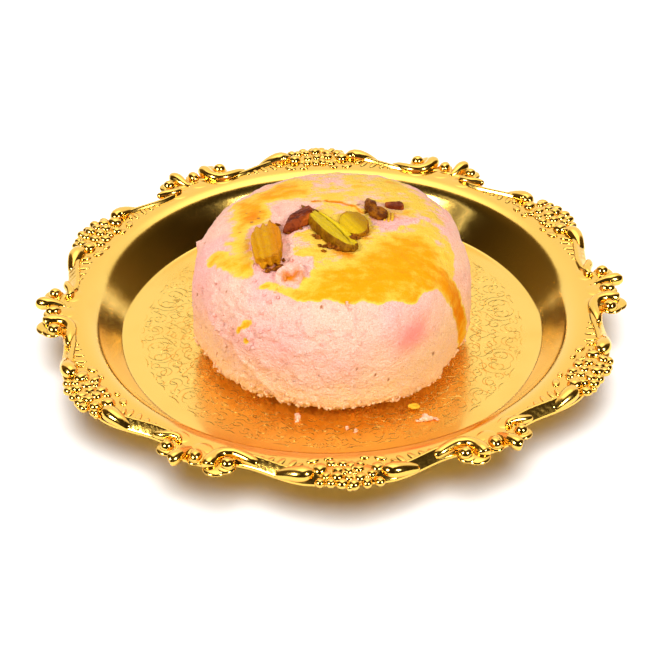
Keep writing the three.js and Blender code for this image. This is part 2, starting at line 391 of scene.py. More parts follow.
class Finish(Nodes):
    """One material, whose nodes end in one shader."""

    def __init__(self, name):
        self.material = bpy.data.materials.new(name)
        super().__init__(self.material)
        output = self.tree.nodes.new("ShaderNodeOutputMaterial")
        self.shader = self.tree.nodes.new("ShaderNodeBsdfPrincipled")
        self.tree.links.new(self.shader.outputs["BSDF"], output.inputs["Surface"])
        self.place = self.node("TexCoord", "Object")

    def surface(self, **values):
        for name, value in values.items():
            self.put(self.shader.inputs[name.replace("_", " ")], value)

    def stretched(self, scale):
        """The object's coordinates with each axis scaled."""
        return self.node("VectorMath", 0, {0: self.place, 1: scale}, operation="MULTIPLY")

    def reach(self):
        """Distance from the middle of the tray, in metres."""
        return self.node("VectorMath", "Value", {0: self.stretched((1, 1, 0))}, operation="LENGTH")

    def noise(self, size, detail=3.0, roughness=0.55, place=None):
        """Cloudy noise with features of about the given size in millimetres."""
        return self.node("TexNoise", "Fac", {
            "Vector": place or self.place, "Scale": 1 / (size * MM), "Detail": detail, "Roughness": roughness})

    def grains(self, size):
        """Distance from the nearest of many scattered places, as far apart as the size in millimetres."""
        return self.node("TexVoronoi", "Distance", {"Vector": self.place, "Scale": 1 / (size * MM)})

    def painted(self, name):
        """A value held by the mesh."""
        return self.node("Attribute", "Fac", attribute_name=name)

    def relief(self, height, depth, strength=1.0, under=None):
        """A bump of the given depth in millimetres, on top of another bump if there is one."""
        inputs = {"Strength": strength, "Distance": depth * MM, "Height": height}
        if under:
            inputs["Normal"] = under
        return self.node("Bump", "Normal", inputs)


# ---- the settings that a user would change ------------------------------------------


def colour_setting(name, description, value):
    return FloatVectorProperty(name=name, description=description, default=value, size=4,
                               min=0.0, max=1.0, subtype="COLOR")


def length_setting(name, description, millimetres):
    return FloatProperty(name=name, description=description, default=millimetres * MM,
                         min=0.0, unit="LENGTH", subtype="DISTANCE", precision=5)


def share_setting(name, description, value, low=0.0, high=1.0):
    return FloatProperty(name=name, description=description, default=value, min=low, max=high,
                         subtype="FACTOR")


def brightness_setting(name, description):
    return FloatProperty(name=name, description=description, default=1.0, min=0.0, max=10.0)


def count_setting(name, description, value, low, high):
    return IntProperty(name=name, description=description, default=value, min=low, max=high)


class ChamChamTraySettings(PropertyGroup):
    gold: colour_setting("Gold", "Colour of the metallised tray", (0.97, 0.63, 0.138, 1.0))
    gold_deep: colour_setting("Deep gold", "Colour where the gilding is thicker", (0.92, 0.555, 0.1, 1.0))
    blur: share_setting("Blur", "Roughness of the metallised layer", 0.15)
    floor_blur: share_setting("Floor blur", "Further roughness of the engraved floor", 0.11)
    berry: length_setting("Berry", "Diameter of a berry of the rim", 2.5)
    engraving: length_setting("Engraving", "Height of the lines on the floor of the well", 0.06)
    engraving_width: length_setting("Engraving width", "Width of the lines on the floor of the well", 0.27)


class ChamChamSweetSettings(PropertyGroup):
    curd: colour_setting("Curd", "Pink of the sweet", srgb(240, 177, 168))
    curd_pale: colour_setting("Pale curd", "Paler, creamier parts", srgb(244, 190, 167))
    # Painted bounce light from the gold tray, peach towards the foot.
    curd_bounce_light: colour_setting("Warm curd", "Peach towards the foot", srgb(254, 205, 146))
    rose: colour_setting("Rose", "The stain of stronger pink", srgb(246, 138, 128))
    syrup: colour_setting("Syrup", "Yellow of the soaked top", srgb(229, 150, 0))
    syrup_pale: colour_setting("Thin syrup", "Yellow where the syrup is thin", srgb(236, 194, 72))
    syrup_deep: colour_setting("Deep syrup", "Orange where the syrup has pooled", srgb(220, 122, 0))
    crumb: length_setting("Crumb", "Size of the curd's grain", 0.9)
    crumb_depth: length_setting("Crumb depth", "Depth of the curd's grain", 0.16)
    grains: count_setting("Grains", "Loose grains that stick to the sweet", 900, 0, 1500)
    around: count_setting("Turns", "Points round the sweet", 480, 60, 520)
    rings: count_setting("Rings", "Rings from the foot to the top", 200, 40, 220)


class ChamChamPistachioSettings(PropertyGroup):
    flesh: colour_setting("Flesh", "Green of a fresh cut kernel", srgb(212, 177, 4))
    flesh_dark: colour_setting("Dark flesh", "Green in the folds of a kernel", srgb(160, 126, 4))
    ochre: colour_setting("Ochre", "Flesh stained by syrup", srgb(202, 120, 2))
    ochre_dark: colour_setting("Dark ochre", "Stained flesh in its grooves", srgb(176, 106, 4))
    skin: colour_setting("Skin", "Papery skin of a kernel", srgb(92, 32, 12))
    skin_olive: colour_setting("Olive skin", "Skin where the flesh shows through", srgb(120, 73, 4))


class ChamChamCrumbSettings(PropertyGroup):
    scale: share_setting("Scale", "Size of the crumbs against the real ones", 1.0, 0.2, 2.0)


class ChamChamStageSettings(PropertyGroup):
    floor: colour_setting("Table", "Colour of the table", (0.86, 0.85, 0.84, 1.0))
    sky: brightness_setting("Sky", "Brightness of the white surroundings")
    lamp: brightness_setting("Lamps", "Brightness of the soft boxes")
    lens: FloatProperty(name="Lens", description="Focal length for a 36 mm frame", default=124.97,
                        min=10.0, max=500.0, unit="CAMERA")


# ---- the tray -----------------------------------------------------------------------


def from_cluster(azimuth):
    turned = (azimuth - 30) % SECTOR
    return np.minimum(turned, SECTOR - turned)


def edge_radius(azimuth):
    """The outline swells at each cluster and each scroll, with a waist between them."""
    away = from_cluster(azimuth)
    rail = mix(EDGE_AT_CLUSTER, EDGE_AT_WAIST, smooth_step(7, 20.5, away))
    return mix(rail, EDGE_AT_SCROLL, smooth_step(22, 25.5, away))


def gold_finish(settings):
    finish = Finish("gilded_shell")
    cloud = finish.noise(14, detail=2)
    fine = finish.noise(0.5, detail=2)
    reach = finish.reach()
    deep = finish.largest(finish.span(cloud, 0.45, 0.75, 0, 0.6), finish.span(reach, 0.0505, 0.056, 0, 0.85))
    # The engraved floor is blurred more than the wall and the rim.
    blur = (finish.span(cloud, 0.3, 0.7, settings.blur - 0.03, settings.blur + 0.03)
            + finish.span(fine, 0.3, 0.8, -0.02, 0.03)
            + finish.span(reach, 0.0415, 0.0445, settings.floor_blur, 0.0))
    soft = finish.relief(finish.noise(6, detail=2), 0.035)
    finish.surface(Base_Color=finish.blend(deep, settings.gold, settings.gold_deep), Metallic=1.0,
                   Roughness=blur, Normal=finish.relief(fine, 0.002, under=soft),
                   Coat_Weight=0.12, Coat_Roughness=0.05, Coat_IOR=1.5)
    return finish.material


# The rail in section: how far in from the edge, and how high above the flat of the rim.
RAIL_SECTION = (
    (0.0, -1.25), (0.02, -1.0), (0.07, -0.86), (0.15, -0.75), (0.26, -0.65), (0.5, -0.46), (0.85, -0.17),
    (1.2, 0.11), (1.55, 0.37), (1.85, 0.58), (2.1, 0.71), (2.3, 0.74), (2.5, 0.7), (2.72, 0.48),
    (2.88, 0.2), (3.05, 0.0),
)
# Rails that are cross-hatched: azimuth of the middle of each, and half its length.
HATCHED_RAILS = ((254, 6), (225, 6), (315, 6), (74, 6), (106, 6), (165, 4), (15, 4))


def rail_height(azimuth):
    away = from_cluster(azimuth)
    return smooth_step(3.5, 6.5, away) * (1 - 0.75 * smooth_step(22, 25, away))


def rail_hatching(azimuth, inward):
    cut = np.zeros_like(azimuth)
    for middle, half in HATCHED_RAILS:
        near = 1 - smooth_step(half - 1.5, half, np.abs(turn(azimuth, middle)))
        cut += near * np.cos(np.radians(azimuth * 240 + inward * 190)) * 0.1
    return cut


def tray_shell(stock):
    slope = radians(WALL_ANGLE)
    lip_z = RIM_Z - LIP_RADIUS

    def lip(angle, offset=0.0):
        a = radians(angle)
        return LIP_START - (LIP_RADIUS - offset) * sin(a), lip_z + (LIP_RADIUS - offset) * cos(a)

    def wall(z, offset=0.0):
        radius, top = lip(WALL_ANGLE)
        return radius - (top - z) * cos(slope) / sin(slope) + offset * sin(slope), z - offset * cos(slope)

    azimuth = np.arange(TRAY_TURNS) * 360 / TRAY_TURNS
    edge = edge_radius(azimuth)
    rise = rail_height(azimuth)
    skirt = RIM_Z - SKIRT_DROP
    underside = RIM_Z - RIM_SHELL

    # Top of the floor, the rounded foot of the wall, the wall and the lip.
    rings = [(radius, SHELL) for radius in (0.4, 12, 24, 34, 40, 43.4, FLOOR_RADIUS)]
    corner, brink = FLOOR_RADIUS + FOOT_FILLET, lip(WALL_ANGLE)
    start, end = corner - 0.45, (mix(corner, brink[0], 0.09), mix(SHELL, brink[1], 0.09))
    for t in np.linspace(0, 1, 7):
        rings.append(((1 - t) ** 2 * start + 2 * t * (1 - t) * corner + t * t * end[0],
                      (1 - t * t) * SHELL + t * t * end[1]))
    rings += [(mix(corner, brink[0], share), mix(SHELL, brink[1], share)) for share in (0.35, 0.65)]
    rings += [lip(angle) for angle in range(WALL_ANGLE, -1, -5)]
    # The flat band, then the rail.
    inner = edge - RAIL_WIDTH
    rings += [(LIP_START + (inner - LIP_START) * share, RIM_Z) for share in (0.35, 0.7, 0.97)]
    for inward, height in reversed(RAIL_SECTION):
        z = RIM_Z + (height * rise if height > 0 else height)
        if 0.3 < inward < 2.1:
            z = z + rail_hatching(azimuth, inward)
        rings.append((edge - inward, z))
    # The turned-down edge and the underside.
    rings += [(edge, skirt + 0.1), (edge - 0.12, skirt), (edge - SKIRT_WALL + 0.1, skirt),
              (edge - SKIRT_WALL, underside), (LIP_START + 0.6, underside)]
    rings += [lip(angle, SHELL) for angle in (15, 30, 45, WALL_ANGLE)]
    rings += [wall(SHELL + FOOT_FILLET, SHELL), (FLOOR_RADIUS + FOOT_FILLET, 0), (40, 0), (20, 0), (0.4, 0)]
    rows = [polar(azimuth, radius + 0 * azimuth, z + 0 * azimuth) for radius, z in rings]
    stock.add(np.concatenate(rows), tube_faces(len(rows), TRAY_TURNS))


# Berries of a cluster: degrees from its middle, radius, lift above the rim and share of size.
BERRIES = (
    (-3.0, 56.9, 0.15, 0.92), (-1.1, 57.1, 0.25, 1.0), (0.9, 57.2, 0.25, 1.0), (2.9, 56.9, 0.15, 0.92),
    (-5.6, 58.9, 0.30, 1.28), (-2.1, 59.0, 0.55, 1.05), (0.1, 59.2, 0.6, 1.05), (2.3, 59.0, 0.55, 1.0),
    (5.6, 58.8, 0.30, 1.28), (-4.1, 60.8, 0.45, 1.0), (-1.9, 61.1, 0.55, 1.05), (0.3, 61.3, 0.6, 1.05),
    (2.4, 61.1, 0.5, 1.0), (4.6, 60.8, 0.4, 1.0), (-5.3, 62.0, -0.35, 1.0), (-3.2, 62.6, -0.15, 1.05),
    (-1.0, 62.8, -0.1, 1.0), (1.2, 62.8, -0.1, 1.05), (3.3, 62.6, -0.15, 1.0), (5.4, 62.0, -0.35, 1.0),
)
# Small leaf pads on the inner side of a cluster: degrees, radius, length, width, heading off radial.
LEAF_PADS = ((6.9, 55.7, 2.7, 1.7, 62), (3.7, 55.1, 2.0, 1.2, 80), (9.6, 57.6, 2.6, 1.2, 40))
# The veined leaf between cluster and rail: degrees, radius, length.
LEAF_VEINS = ((10.9, 57.0, 3.0), (13.3, 56.9, 3.3), (15.5, 56.7, 2.7), (17.4, 56.5, 1.9))
# The round hump of the rail beside the berries, which hooks inwards: degrees, radius and lift
# of the points that it runs through, and its radii there.
HUMP = ((13.8, 59.2, -1.3), (12.2, 59.6, -0.6), (10.6, 59.9, -0.1), (9.0, 60.1, 0.15), (7.8, 59.9, 0.2),
        (6.9, 58.9, 0.0))
HUMP_RADII = (1.1, 1.35, 1.65, 1.85, 1.7, 1.0)


def berry_cluster(stock, azimuth, size, rng):
    # The metal swells under the berries, so that the gaps between them are shallow.
    stock.add(*ball(polar(azimuth, 59.4, RIM_Z - 0.25), 1, 30, 10, (6.6, 12.4, 1.6), azimuth))
    for along, radius, lift, share in BERRIES:
        wander = rng.uniform(-0.3, 0.3, 3)
        place = azimuth + along
        centre = polar(place + wander[0], radius + wander[1], RIM_Z + 0.7 * lift - 0.22 + 0.4 * wander[2])
        width = size * share * rng.uniform(0.85, 1.05)
        stretch = (rng.uniform(0.95, 1.25), rng.uniform(0.85, 1.05), rng.uniform(0.72, 0.86))
        stock.add(*ball(centre, width, 16, 10, stretch, azimuth + rng.uniform(-35, 35)))
        # Some berries have a small one beside them.
        if rng.uniform() < 0.4:
            nearby = polar(place + rng.choice((-1.1, 1.1)), radius + rng.uniform(-1, 1), RIM_Z + lift - 0.3)
            stock.add(*ball(nearby, width * 0.55, 12, 7))
    for side in (-1, 1):
        for along, radius, length, width, heading in LEAF_PADS:
            place = azimuth + side * along
            stock.add(*ball(polar(place, radius, RIM_Z), 1, 14, 8, (length, width, 0.9), place + side * heading))
        for along, radius, length in LEAF_VEINS:
            place = azimuth + side * along
            stock.add(*ball(polar(place, radius, RIM_Z - 0.06), 1, 16, 8, (length, 1.35, 0.66), place + side * 24))
        hump = [polar(azimuth + side * along, radius, RIM_Z + lift) for along, radius, lift in HUMP]
        stock.add(*roll_of_metal(hump, HUMP_RADII, sides=20, height=0.85))


# Rolls of metal in a scroll: degrees, radius and lift of their points, the radii there, sides,
# steps and height. The rail comes in past its ball and curls out again into a round lobe, then
# come the tongue and the short hook round the second ball.
SCROLL_ROLLS = (
    (((12.6, 57.8, -0.6), (10.8, 57.4, -0.1), (8.8, 56.9, 0.15), (6.7, 56.7, 0.3), (4.9, 57.5, 0.35),
      (3.9, 59.2, 0.35), (3.7, 61.0, 0.3), (4.0, 62.6, 0.05)), (0.9, 1.2, 1.3, 1.3, 1.35, 1.45, 1.6, 1.3), 18, 44, 0.9),
    (((-1.9, 57.6, -0.3), (-2.5, 59.6, 0.0), (-2.8, 61.6, 0.15), (-3.1, 63.0, 0.0), (-3.6, 63.7, -0.25)),
     (0.35, 1.0, 1.5, 1.6, 1.2), 16, 28, 0.9),
    (((-10.6, 58.9, 0.15), (-8.9, 58.3, 0.3), (-7.2, 57.4, 0.4), (-5.6, 57.2, 0.4), (-4.7, 58.0, 0.25)),
     (0.6, 0.95, 1.0, 0.85, 0.5), 16, 28, 1.0),
)
# Lumps of a scroll: degrees, radius, lift, points around, rings, size, and heading off the
# scroll's own, or None for a lump that is round or nearly so. They are the first ball, its
# socket and the web that joins it to the lobe, the bead in the middle and its low surround,
# the second ball and its socket, and the three scallops on the inner side.
SCROLL_LUMPS = (
    (7.0, 60.3, 0.2, 22, 12, (3.1, 3.1, 3.1), None), (6.6, 60.6, -0.25, 22, 9, (4.6, 4.6, 1.3), None),
    (5.0, 61.8, -0.4, 22, 9, (4.6, 5.2, 1.2), 0), (0.4, 60.3, 0.2, 22, 12, (3.6, 2.7, 2.7), 12),
    (0.5, 59.8, -0.3, 22, 9, (5.6, 4.0, 1.2), 0), (-5.9, 60.5, 0.2, 22, 12, (2.9, 2.9, 2.9), None),
    (-5.9, 60.7, -0.25, 22, 9, (4.4, 4.3, 1.3), None), (6.2, 56.4, -0.28, 24, 10, (4.4, 6.6, 0.95), 6.2),
    (0.4, 57.4, -0.28, 24, 10, (4.4, 5.4, 0.95), 0.4), (-6.0, 56.4, -0.28, 24, 10, (4.4, 6.2, 0.95), -6.0),
)


def scroll(stock, azimuth, side):
    def at(along, radius, lift):
        return polar(azimuth + side * along, radius, RIM_Z + lift)

    for points, radii, sides, steps, height in SCROLL_ROLLS:
        stock.add(*roll_of_metal([at(*point) for point in points], radii, sides, steps, height))
    for along, radius, lift, around, rings, size, heading in SCROLL_LUMPS:
        facing = 0 if heading is None else azimuth + side * heading
        stock.add(*ball(at(along, radius, lift), 1, around, rings, size, facing))


# One motif of the floor's engraving, as strokes of (degrees from its middle, radius), which
# is drawn on both sides of the middle: a heart of two curls, its stem, and leaf strokes.
STROKES = (
    ((0, 40.2), (2.2, 40.6), (4.4, 39.4), (4.9, 37.4), (3.4, 36.0), (1.8, 36.6), (1.9, 38.0), (3.0, 38.2)),
    ((0, 33.2), (1.4, 34.6), (3.6, 35.2), (6.0, 36.2), (6.9, 38.0), (6.0, 39.6)),
    ((0.5, 31.0), (2.6, 32.6), (5.2, 33.2), (7.6, 32.2), (8.0, 30.2), (6.2, 29.2), (4.8, 30.2), (5.4, 31.4)),
    ((6.2, 34.2), (8.2, 35.2), (9.8, 34.2), (9.6, 32.6)),
    ((8.0, 40.4), (8.9, 38.8), (10.6, 38.0), (12.6, 38.6), (13.2, 40.0), (12.0, 40.6), (11.2, 39.9)),
    ((9.2, 36.6), (10.8, 35.6), (12.8, 35.6), (14.2, 36.8)),
    ((10.4, 31.8), (12.2, 32.6), (14.0, 34.2)),
    ((11.4, 30.0), (13.2, 30.6), (15.0, 32.0)),
    ((0, 29.8), (1.8, 28.6), (4.2, 28.2), (6.6, 27.4)),
    ((0.8, 27.2), (3.2, 26.2), (5.6, 26.6), (6.2, 25.2), (4.6, 24.6)),
    ((9.0, 28.6), (11.2, 27.2), (13.6, 27.8), (14.6, 29.4)),
    ((8.4, 26.0), (10.6, 24.8), (12.8, 25.2)),
    ((2.0, 41.6), (4.6, 41.3), (7.2, 41.8)),
    ((0, 35.0), (0.7, 35.8), (0, 37.4)),
    ((9.8, 41.6), (11.4, 41.2), (13.4, 41.6)),
)
# Curls that fill the ground between the strokes: degrees, radius, size, start and turns.
CURLS = (
    (2.9, 38.4, 1.9, 200, 1.3), (7.6, 39.8, 1.3, 20, 1.2), (11.8, 38.6, 1.9, 160, 1.3), (4.4, 34.9, 1.5, 300, 1.2),
    (9.2, 35.6, 1.8, 80, 1.4), (13.4, 35.2, 1.2, 240, 1.1), (1.8, 32.2, 1.4, 40, 1.2), (6.6, 31.8, 1.8, 180, 1.4),
    (11.4, 31.6, 1.7, 330, 1.3), (3.4, 28.6, 1.7, 120, 1.3), (9.0, 28.0, 1.9, 260, 1.4), (13.7, 28.2, 1.2, 60, 1.1),
    (2.4, 25.4, 1.3, 10, 1.1), (6.8, 24.8, 1.5, 150, 1.2), (12.0, 24.6, 1.5, 280, 1.2), (0.9, 36.6, 0.8, 90, 0.9),
    (14.2, 40.6, 0.9, 30, 1.0), (5.6, 41.2, 0.8, 210, 0.9), (14.4, 32.2, 0.9, 130, 1.0),
)


def curl_points(degrees, radius, size, start, turns):
    """A spiral on the floor, as degrees and radii."""
    share = np.linspace(0, 1, 6 + int(6 * turns))
    angle = np.radians(start + 360 * turns * share)
    reach = size * (1 - 0.8 * share)
    return list(zip(degrees + np.degrees(reach * np.cos(angle) / radius), radius + reach * np.sin(angle)))


def engraved_line(stock, points, width, height):
    steps = max(10, int(2.2 * len(points)))
    path = curve_through([polar(a, r, SHELL) for a, r in points], steps)
    across = np.cross(unit(np.gradient(path, axis=0)), [0, 0, 1.0])
    swell = np.sqrt(np.sin(np.linspace(0.06, np.pi - 0.06, steps)))[:, None]
    # The line's feet are sunk a little into the floor.
    left, right = (path + sign * across * swell * width / 2 - [0, 0, 0.01] for sign in (-1, 1))
    top = path + np.array([0, 0, height]) * swell
    points = np.stack([left, top, right], 1).reshape(-1, 3)
    stock.add(points, [tuple(reversed(face)) for face in grid_faces(steps, 3, closed=False)])


def tray_engraving(stock, width, height):
    rng = np.random.default_rng(12)
    for motif in range(12):
        middle = 30 * motif + 8
        for side in (-1, 1):
            for stroke in STROKES + tuple(curl_points(*curl) for curl in CURLS):
                wander = rng.uniform(-0.25, 0.25, 2)
                engraved_line(stock, [(middle + side * a + wander[0], r + wander[1]) for a, r in stroke],
                              width * rng.uniform(0.7, 1.1), height)


class CHAMCHAM_OT_tray(Operator):
    """Builds the gilt tray with its berries, scrolls and engraved floor"""

    bl_idname = "cham_cham.tray"
    bl_label = "Tray"

    def execute(self, context):
        settings = context.scene.cham_cham_tray
        gold = gold_finish(settings)
        rng = np.random.default_rng(7)
        stock = Stock()
        tray_shell(stock)
        for azimuth in CLUSTERS:
            berry_cluster(stock, azimuth, settings.berry / MM, rng)
        for azimuth, side in SCROLLS:
            scroll(stock, azimuth, side)
        tray = stock.piece("gilt_tray", [gold])
        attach(tray, "root")
        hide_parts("tray")
        stock = Stock()
        tray_engraving(stock, settings.engraving_width / MM, settings.engraving / MM)
        lines = stock.piece("floor_engraving", [gold], sharp=15)
        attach(lines, "root")
        return {"FINISHED"}


# ---- the sweet ----------------------------------------------------------------------


def sweet_point(azimuth, share, outset=0.0):
    """Surface of the puck: share runs from the middle of the underside to the middle of the top."""
    upper = share > 0.5
    angle = (share - 0.5) * np.pi
    squarer = 0.6 * bump(turn(azimuth, 180), 40) + 0.8 * bump(turn(azimuth, 40), 45)
    roundness = np.where(upper, SHOULDER_ROUNDNESS + squarer, FOOT_ROUNDNESS)
    reach = np.abs(np.cos(angle)) ** (2 / roundness)
    climb = np.abs(np.sin(angle)) ** (2 / roundness)
    radius = SWEET_RADIUS + waves(OUTLINE_WAVES, azimuth) * np.where(upper, 1, 1 + 0.6 * climb)
    for centre, width, size in OUTLINE_SWELLS:
        radius = radius + size * bump(turn(azimuth, centre), width)
    radius = radius - 0.9 * bump(turn(azimuth, CREASE_AZIMUTH), 5) * reach
    belly = SHELL + GAP + SWEET_BELLY
    top = SWEET_HEIGHT - SWEET_BELLY
    z = np.where(upper, belly + climb * top, belly - climb * SWEET_BELLY)
    z = z + np.where(upper, climb * reach * waves(TOP_WAVES, azimuth), 0)
    flat = reach * (radius + outset)
    return np.stack([SWEET_CENTRE[0] + flat * np.cos(np.radians(azimuth)),
                     SWEET_CENTRE[1] + flat * np.sin(np.radians(azimuth)),
                     z + outset * np.where(upper, climb, -climb)], -1)


def top_of_sweet(x, y):
    """Height of the top of the sweet above a place on the floor."""
    dx, dy = x - SWEET_CENTRE[0], y - SWEET_CENTRE[1]
    azimuth, reach = np.degrees(np.arctan2(dy, dx)) % 360, np.hypot(dx, dy)
    shares = 1 - np.geomspace(0.48, 0.001, 400)
    line = sweet_point(np.full(400, azimuth), shares)
    radii = np.hypot(line[:, 0] - SWEET_CENTRE[0], line[:, 1] - SWEET_CENTRE[1])
    return float(np.interp(reach, radii[::-1], line[::-1, 2]))


# Zones of the sweet, in millimetres on a map of its skin laid flat from the middle of the top.
SOAKED = ((-16.5, -19.3), (-13, -21), (-10, -22.8), (-7, -24.8), (-4, -25), (-1.5, -24.8), (0.5, -26), (3, -26),
          (5.5, -25.2), (9.5, -25.8), (12, -24.7), (16, -25), (18, -22.5), (20.5, -20.3), (23, -18.7), (30, -18.8),
          (37, -18.4), (44, -18.6), (43.5, -16), (36, -14.2), (28, -13.8), (27, -10), (26.5, -5), (24, -1), (20, 0.3),
          (15, -3), (12, -4.5), (8.5, -3), (8.5, 2), (5, 5.5), (-1, 6.5), (-4, 3), (-4, -4), (-9, -5.5), (-9.5, -9),
          (-8.5, -12.5), (-4.5, -13.8), (-4, -16.5), (-5.5, -19.5), (-8, -21.4), (-11.5, -19.4), (-14, -18.6))
SOAKED_DEEP = ((-12, -25), (-8, -28), (-2, -29), (3, -30), (10, -29.5), (17, -28), (22, -23), (25, -21),
               (30, -22), (46, -21), (45, -13), (34, -14), (24, -12.5), (22.5, -7), (19, -4.5), (13, -5.5), (9.5, -8),
               (5, -14), (-3, -17), (-5.5, -20.5), (-9, -21.5))
WASHED = ((-23, -8), (-23, 8), (-17, 17), (-6, 24), (8, 24), (18, 20), (25, 10), (27, -2), (20, 0), (9, 3), (-3, 7),
          (-9, 7.5), (-13, 6), (-15, -2))
STREAK = ((19, -14), (22, -17.5), (26, -19.2), (34, -19.6), (46, -19.5), (46, -15), (36, -14), (28, -13.4), (23, -12.5))
LEFT_PATCH = ((-27, -5.8), (-24.5, -5), (-22, -7.5), (-20.5, -9), (-17.5, -9), (-17, -14), (-17.5, -16.3), (-20, -15.5),
              (-22, -12.3), (-24, -10.3), (-26.5, -8))
BACK_LEFT = ((-21, 12), (-15, 15), (-10, 19), (-5, 18.5), (-2.6, 13), (-3.5, 9.3), (-9, 8.5), (-12.5, 8.6), (-13.8, 4),
             (-14.2, 0.5), (-17.3, -1.2), (-17.6, -8), (-20.5, -9.5), (-22, -6), (-20.5, 0), (-21.5, 5))
BACK_RIGHT = ((9.5, 7.5), (12.5, 14.5), (11.5, 18.5), (15.5, 20), (21.5, 13), (23.5, 6), (23, -1), (19.5, 0.5),
              (13, -1.5), (9.8, 1))
STAIN = (-16.2, 3.8)
LUMP = (-9.0, -18.3)
ROSE = (18.4, -30.6)
STRIP = ((-11.2, 6), (-10, 0.5), (-9.3, -4.5), (-10, -10), (-9.8, -14.5), (-8.5, -16.5))
FOLD = ((20.5, 0.6), (16.6, -1.9), (13.8, -3.6), (10.9, -5.1), (8.8, -3.4))
RED_SEAM = ((-3.2, 7.2), (-1.2, 7.5), (0.8, 6.8), (2.8, 6.6), (5.4, 4.9), (7, 2.2))
FRONT_CRACK = ((-9, -31.5), (-4.5, -35), (-1.3, -37.2), (2.8, -39.6), (8, -40.4), (11.6, -40.4), (14.9, -42))
FLANK = ((-32, -18), (-30.6, -23), (-28, -28), (-28.1, -32.3), (-25, -38), (-21, -46))
DROPS = ((-21.2, -25.8, 1.1), (-23.7, -25.9, 0.8), (-23, -28.8, 0.6), (-25.8, -7.2, 1.1), (6.8, 13.4, 0.9),
         (14.5, 16.8, 1.3), (7.5, 15.2, 0.5), (-14.5, -19.6, 0.8))
SPECKS = ((27.8, -32.4, 0.5), (14.9, -42, 0.35), (4.9, -40.2, 0.35), (16.9, -25, 0.25), (-35.2, -8.4, 0.3),
          (-23.7, -16.9, 0.25), (-3.4, -26.4, 0.35), (10.5, -41.3, 0.25), (-17.6, 5.6, 0.35), (-15.1, 2.8, 0.3),
          (-16.6, 1.6, 0.4), (-14.7, 5.2, 0.3), (-19.2, -1.5, 0.25), (14, 3.2, 0.25), (6.2, 5.4, 0.3))
# Paler and redder places in the syrup, and painted orange-brown shadow round the feet of the kernels: strength, place,
# width and stretch.
PALLOR = ((1.5, (-6.5, -9), 2.8), (1.0, (11, -6), 2.6), (0.5, (3, 3.5), 2.4), (0.4, (2.5, -14.5), 2.5))
EMBERS_AND_KERNEL_SHADOWS = ((1.0, STAIN, 2.3), (0.3, (19, -14), 5), (0.45, (-8.5, -22.3), 1.2, (0.5, 1)), (0.7, (11.5, 1), 4.4),
          (0.8, (1.5, -10.8), 2.7), (0.85, (6.8, -6.5), 2.2), (0.5, (2.5, -13.6), 1.6, (0.5, 1)),
          (0.8, (-13.4, -15.6), 2.4, (1, 1.4)), (0.6, (-17.8, -7.5), 1.6, (1.5, 0.3)), (0.3, (16.5, 1.5), 2.4))


def smooth_skin(settings):
    """The smooth sweet in rings from its foot to its top: azimuths, shares, points and normals."""
    azimuth = np.arange(settings.around) * 360 / settings.around
    # The rings are evenly spaced along the section at the front.
    fine = 1 - np.geomspace(0.98, 0.00016, 3000)
    section = sweet_point(np.full(len(fine), -90.0), fine)
    length = np.concatenate([[0], np.cumsum(np.linalg.norm(np.diff(section, axis=0), axis=1))])
    share = np.interp(np.linspace(0, length[-1], settings.rings), length, fine)
    turned, placed = np.meshgrid(azimuth, share)
    points = sweet_point(turned, placed)
    normal = np.cross(np.roll(points, -1, 1) - np.roll(points, 1, 1), np.gradient(points, axis=0))
    return turned, placed, points, unit(normal, 1e-9)


def lay_flat(turned, placed, points):
    """The skin as a flat map, with the noises and distances that several of its zones share."""
    steps = np.linalg.norm(np.diff(points, axis=0), axis=2)
    apex = np.linalg.norm(points[-1, :, :2] - np.array(SWEET_CENTRE), axis=1)
    arc = np.concatenate([np.cumsum(steps[::-1], axis=0)[::-1], np.zeros((1, points.shape[1]))]) + apex
    u, v = arc * np.cos(np.radians(turned)), arc * np.sin(np.radians(turned))
    cells_and_seeds = ((7.0, 1), (2.6, 2), (1.3, 3), (3.2, 5), (3.2, 6), (0.9, 7), (0.9, 8))
    slow, middle, small, wander_u, wander_v, frill_u, frill_v = (
        lattice_noise(points, cell, seed) for cell, seed in cells_and_seeds)
    wet_u, wet_v = u + 0.5 * wander_u + 0.35 * frill_u, v + 0.5 * wander_v + 0.35 * frill_v
    line_u, line_v = u + 0.3 * frill_u, v + 0.3 * frill_v
    return SimpleNamespace(
        turned=turned, placed=placed, points=points, u=u, v=v, slow=slow, middle=middle, small=small,
        wet_u=wet_u, wet_v=wet_v, loose_u=wet_u + 1.3 * wander_v, loose_v=wet_v - 1.3 * wander_u,
        seam=line_distance(line_u, line_v, RED_SEAM)[0], fold=line_distance(line_u, line_v, FOLD)[0],
        strip=line_distance(wet_u, wet_v, STRIP)[0],
        lump=np.hypot((u - LUMP[0]) / 3.3, (v - LUMP[1]) / 2.5) + 0.16 * middle)


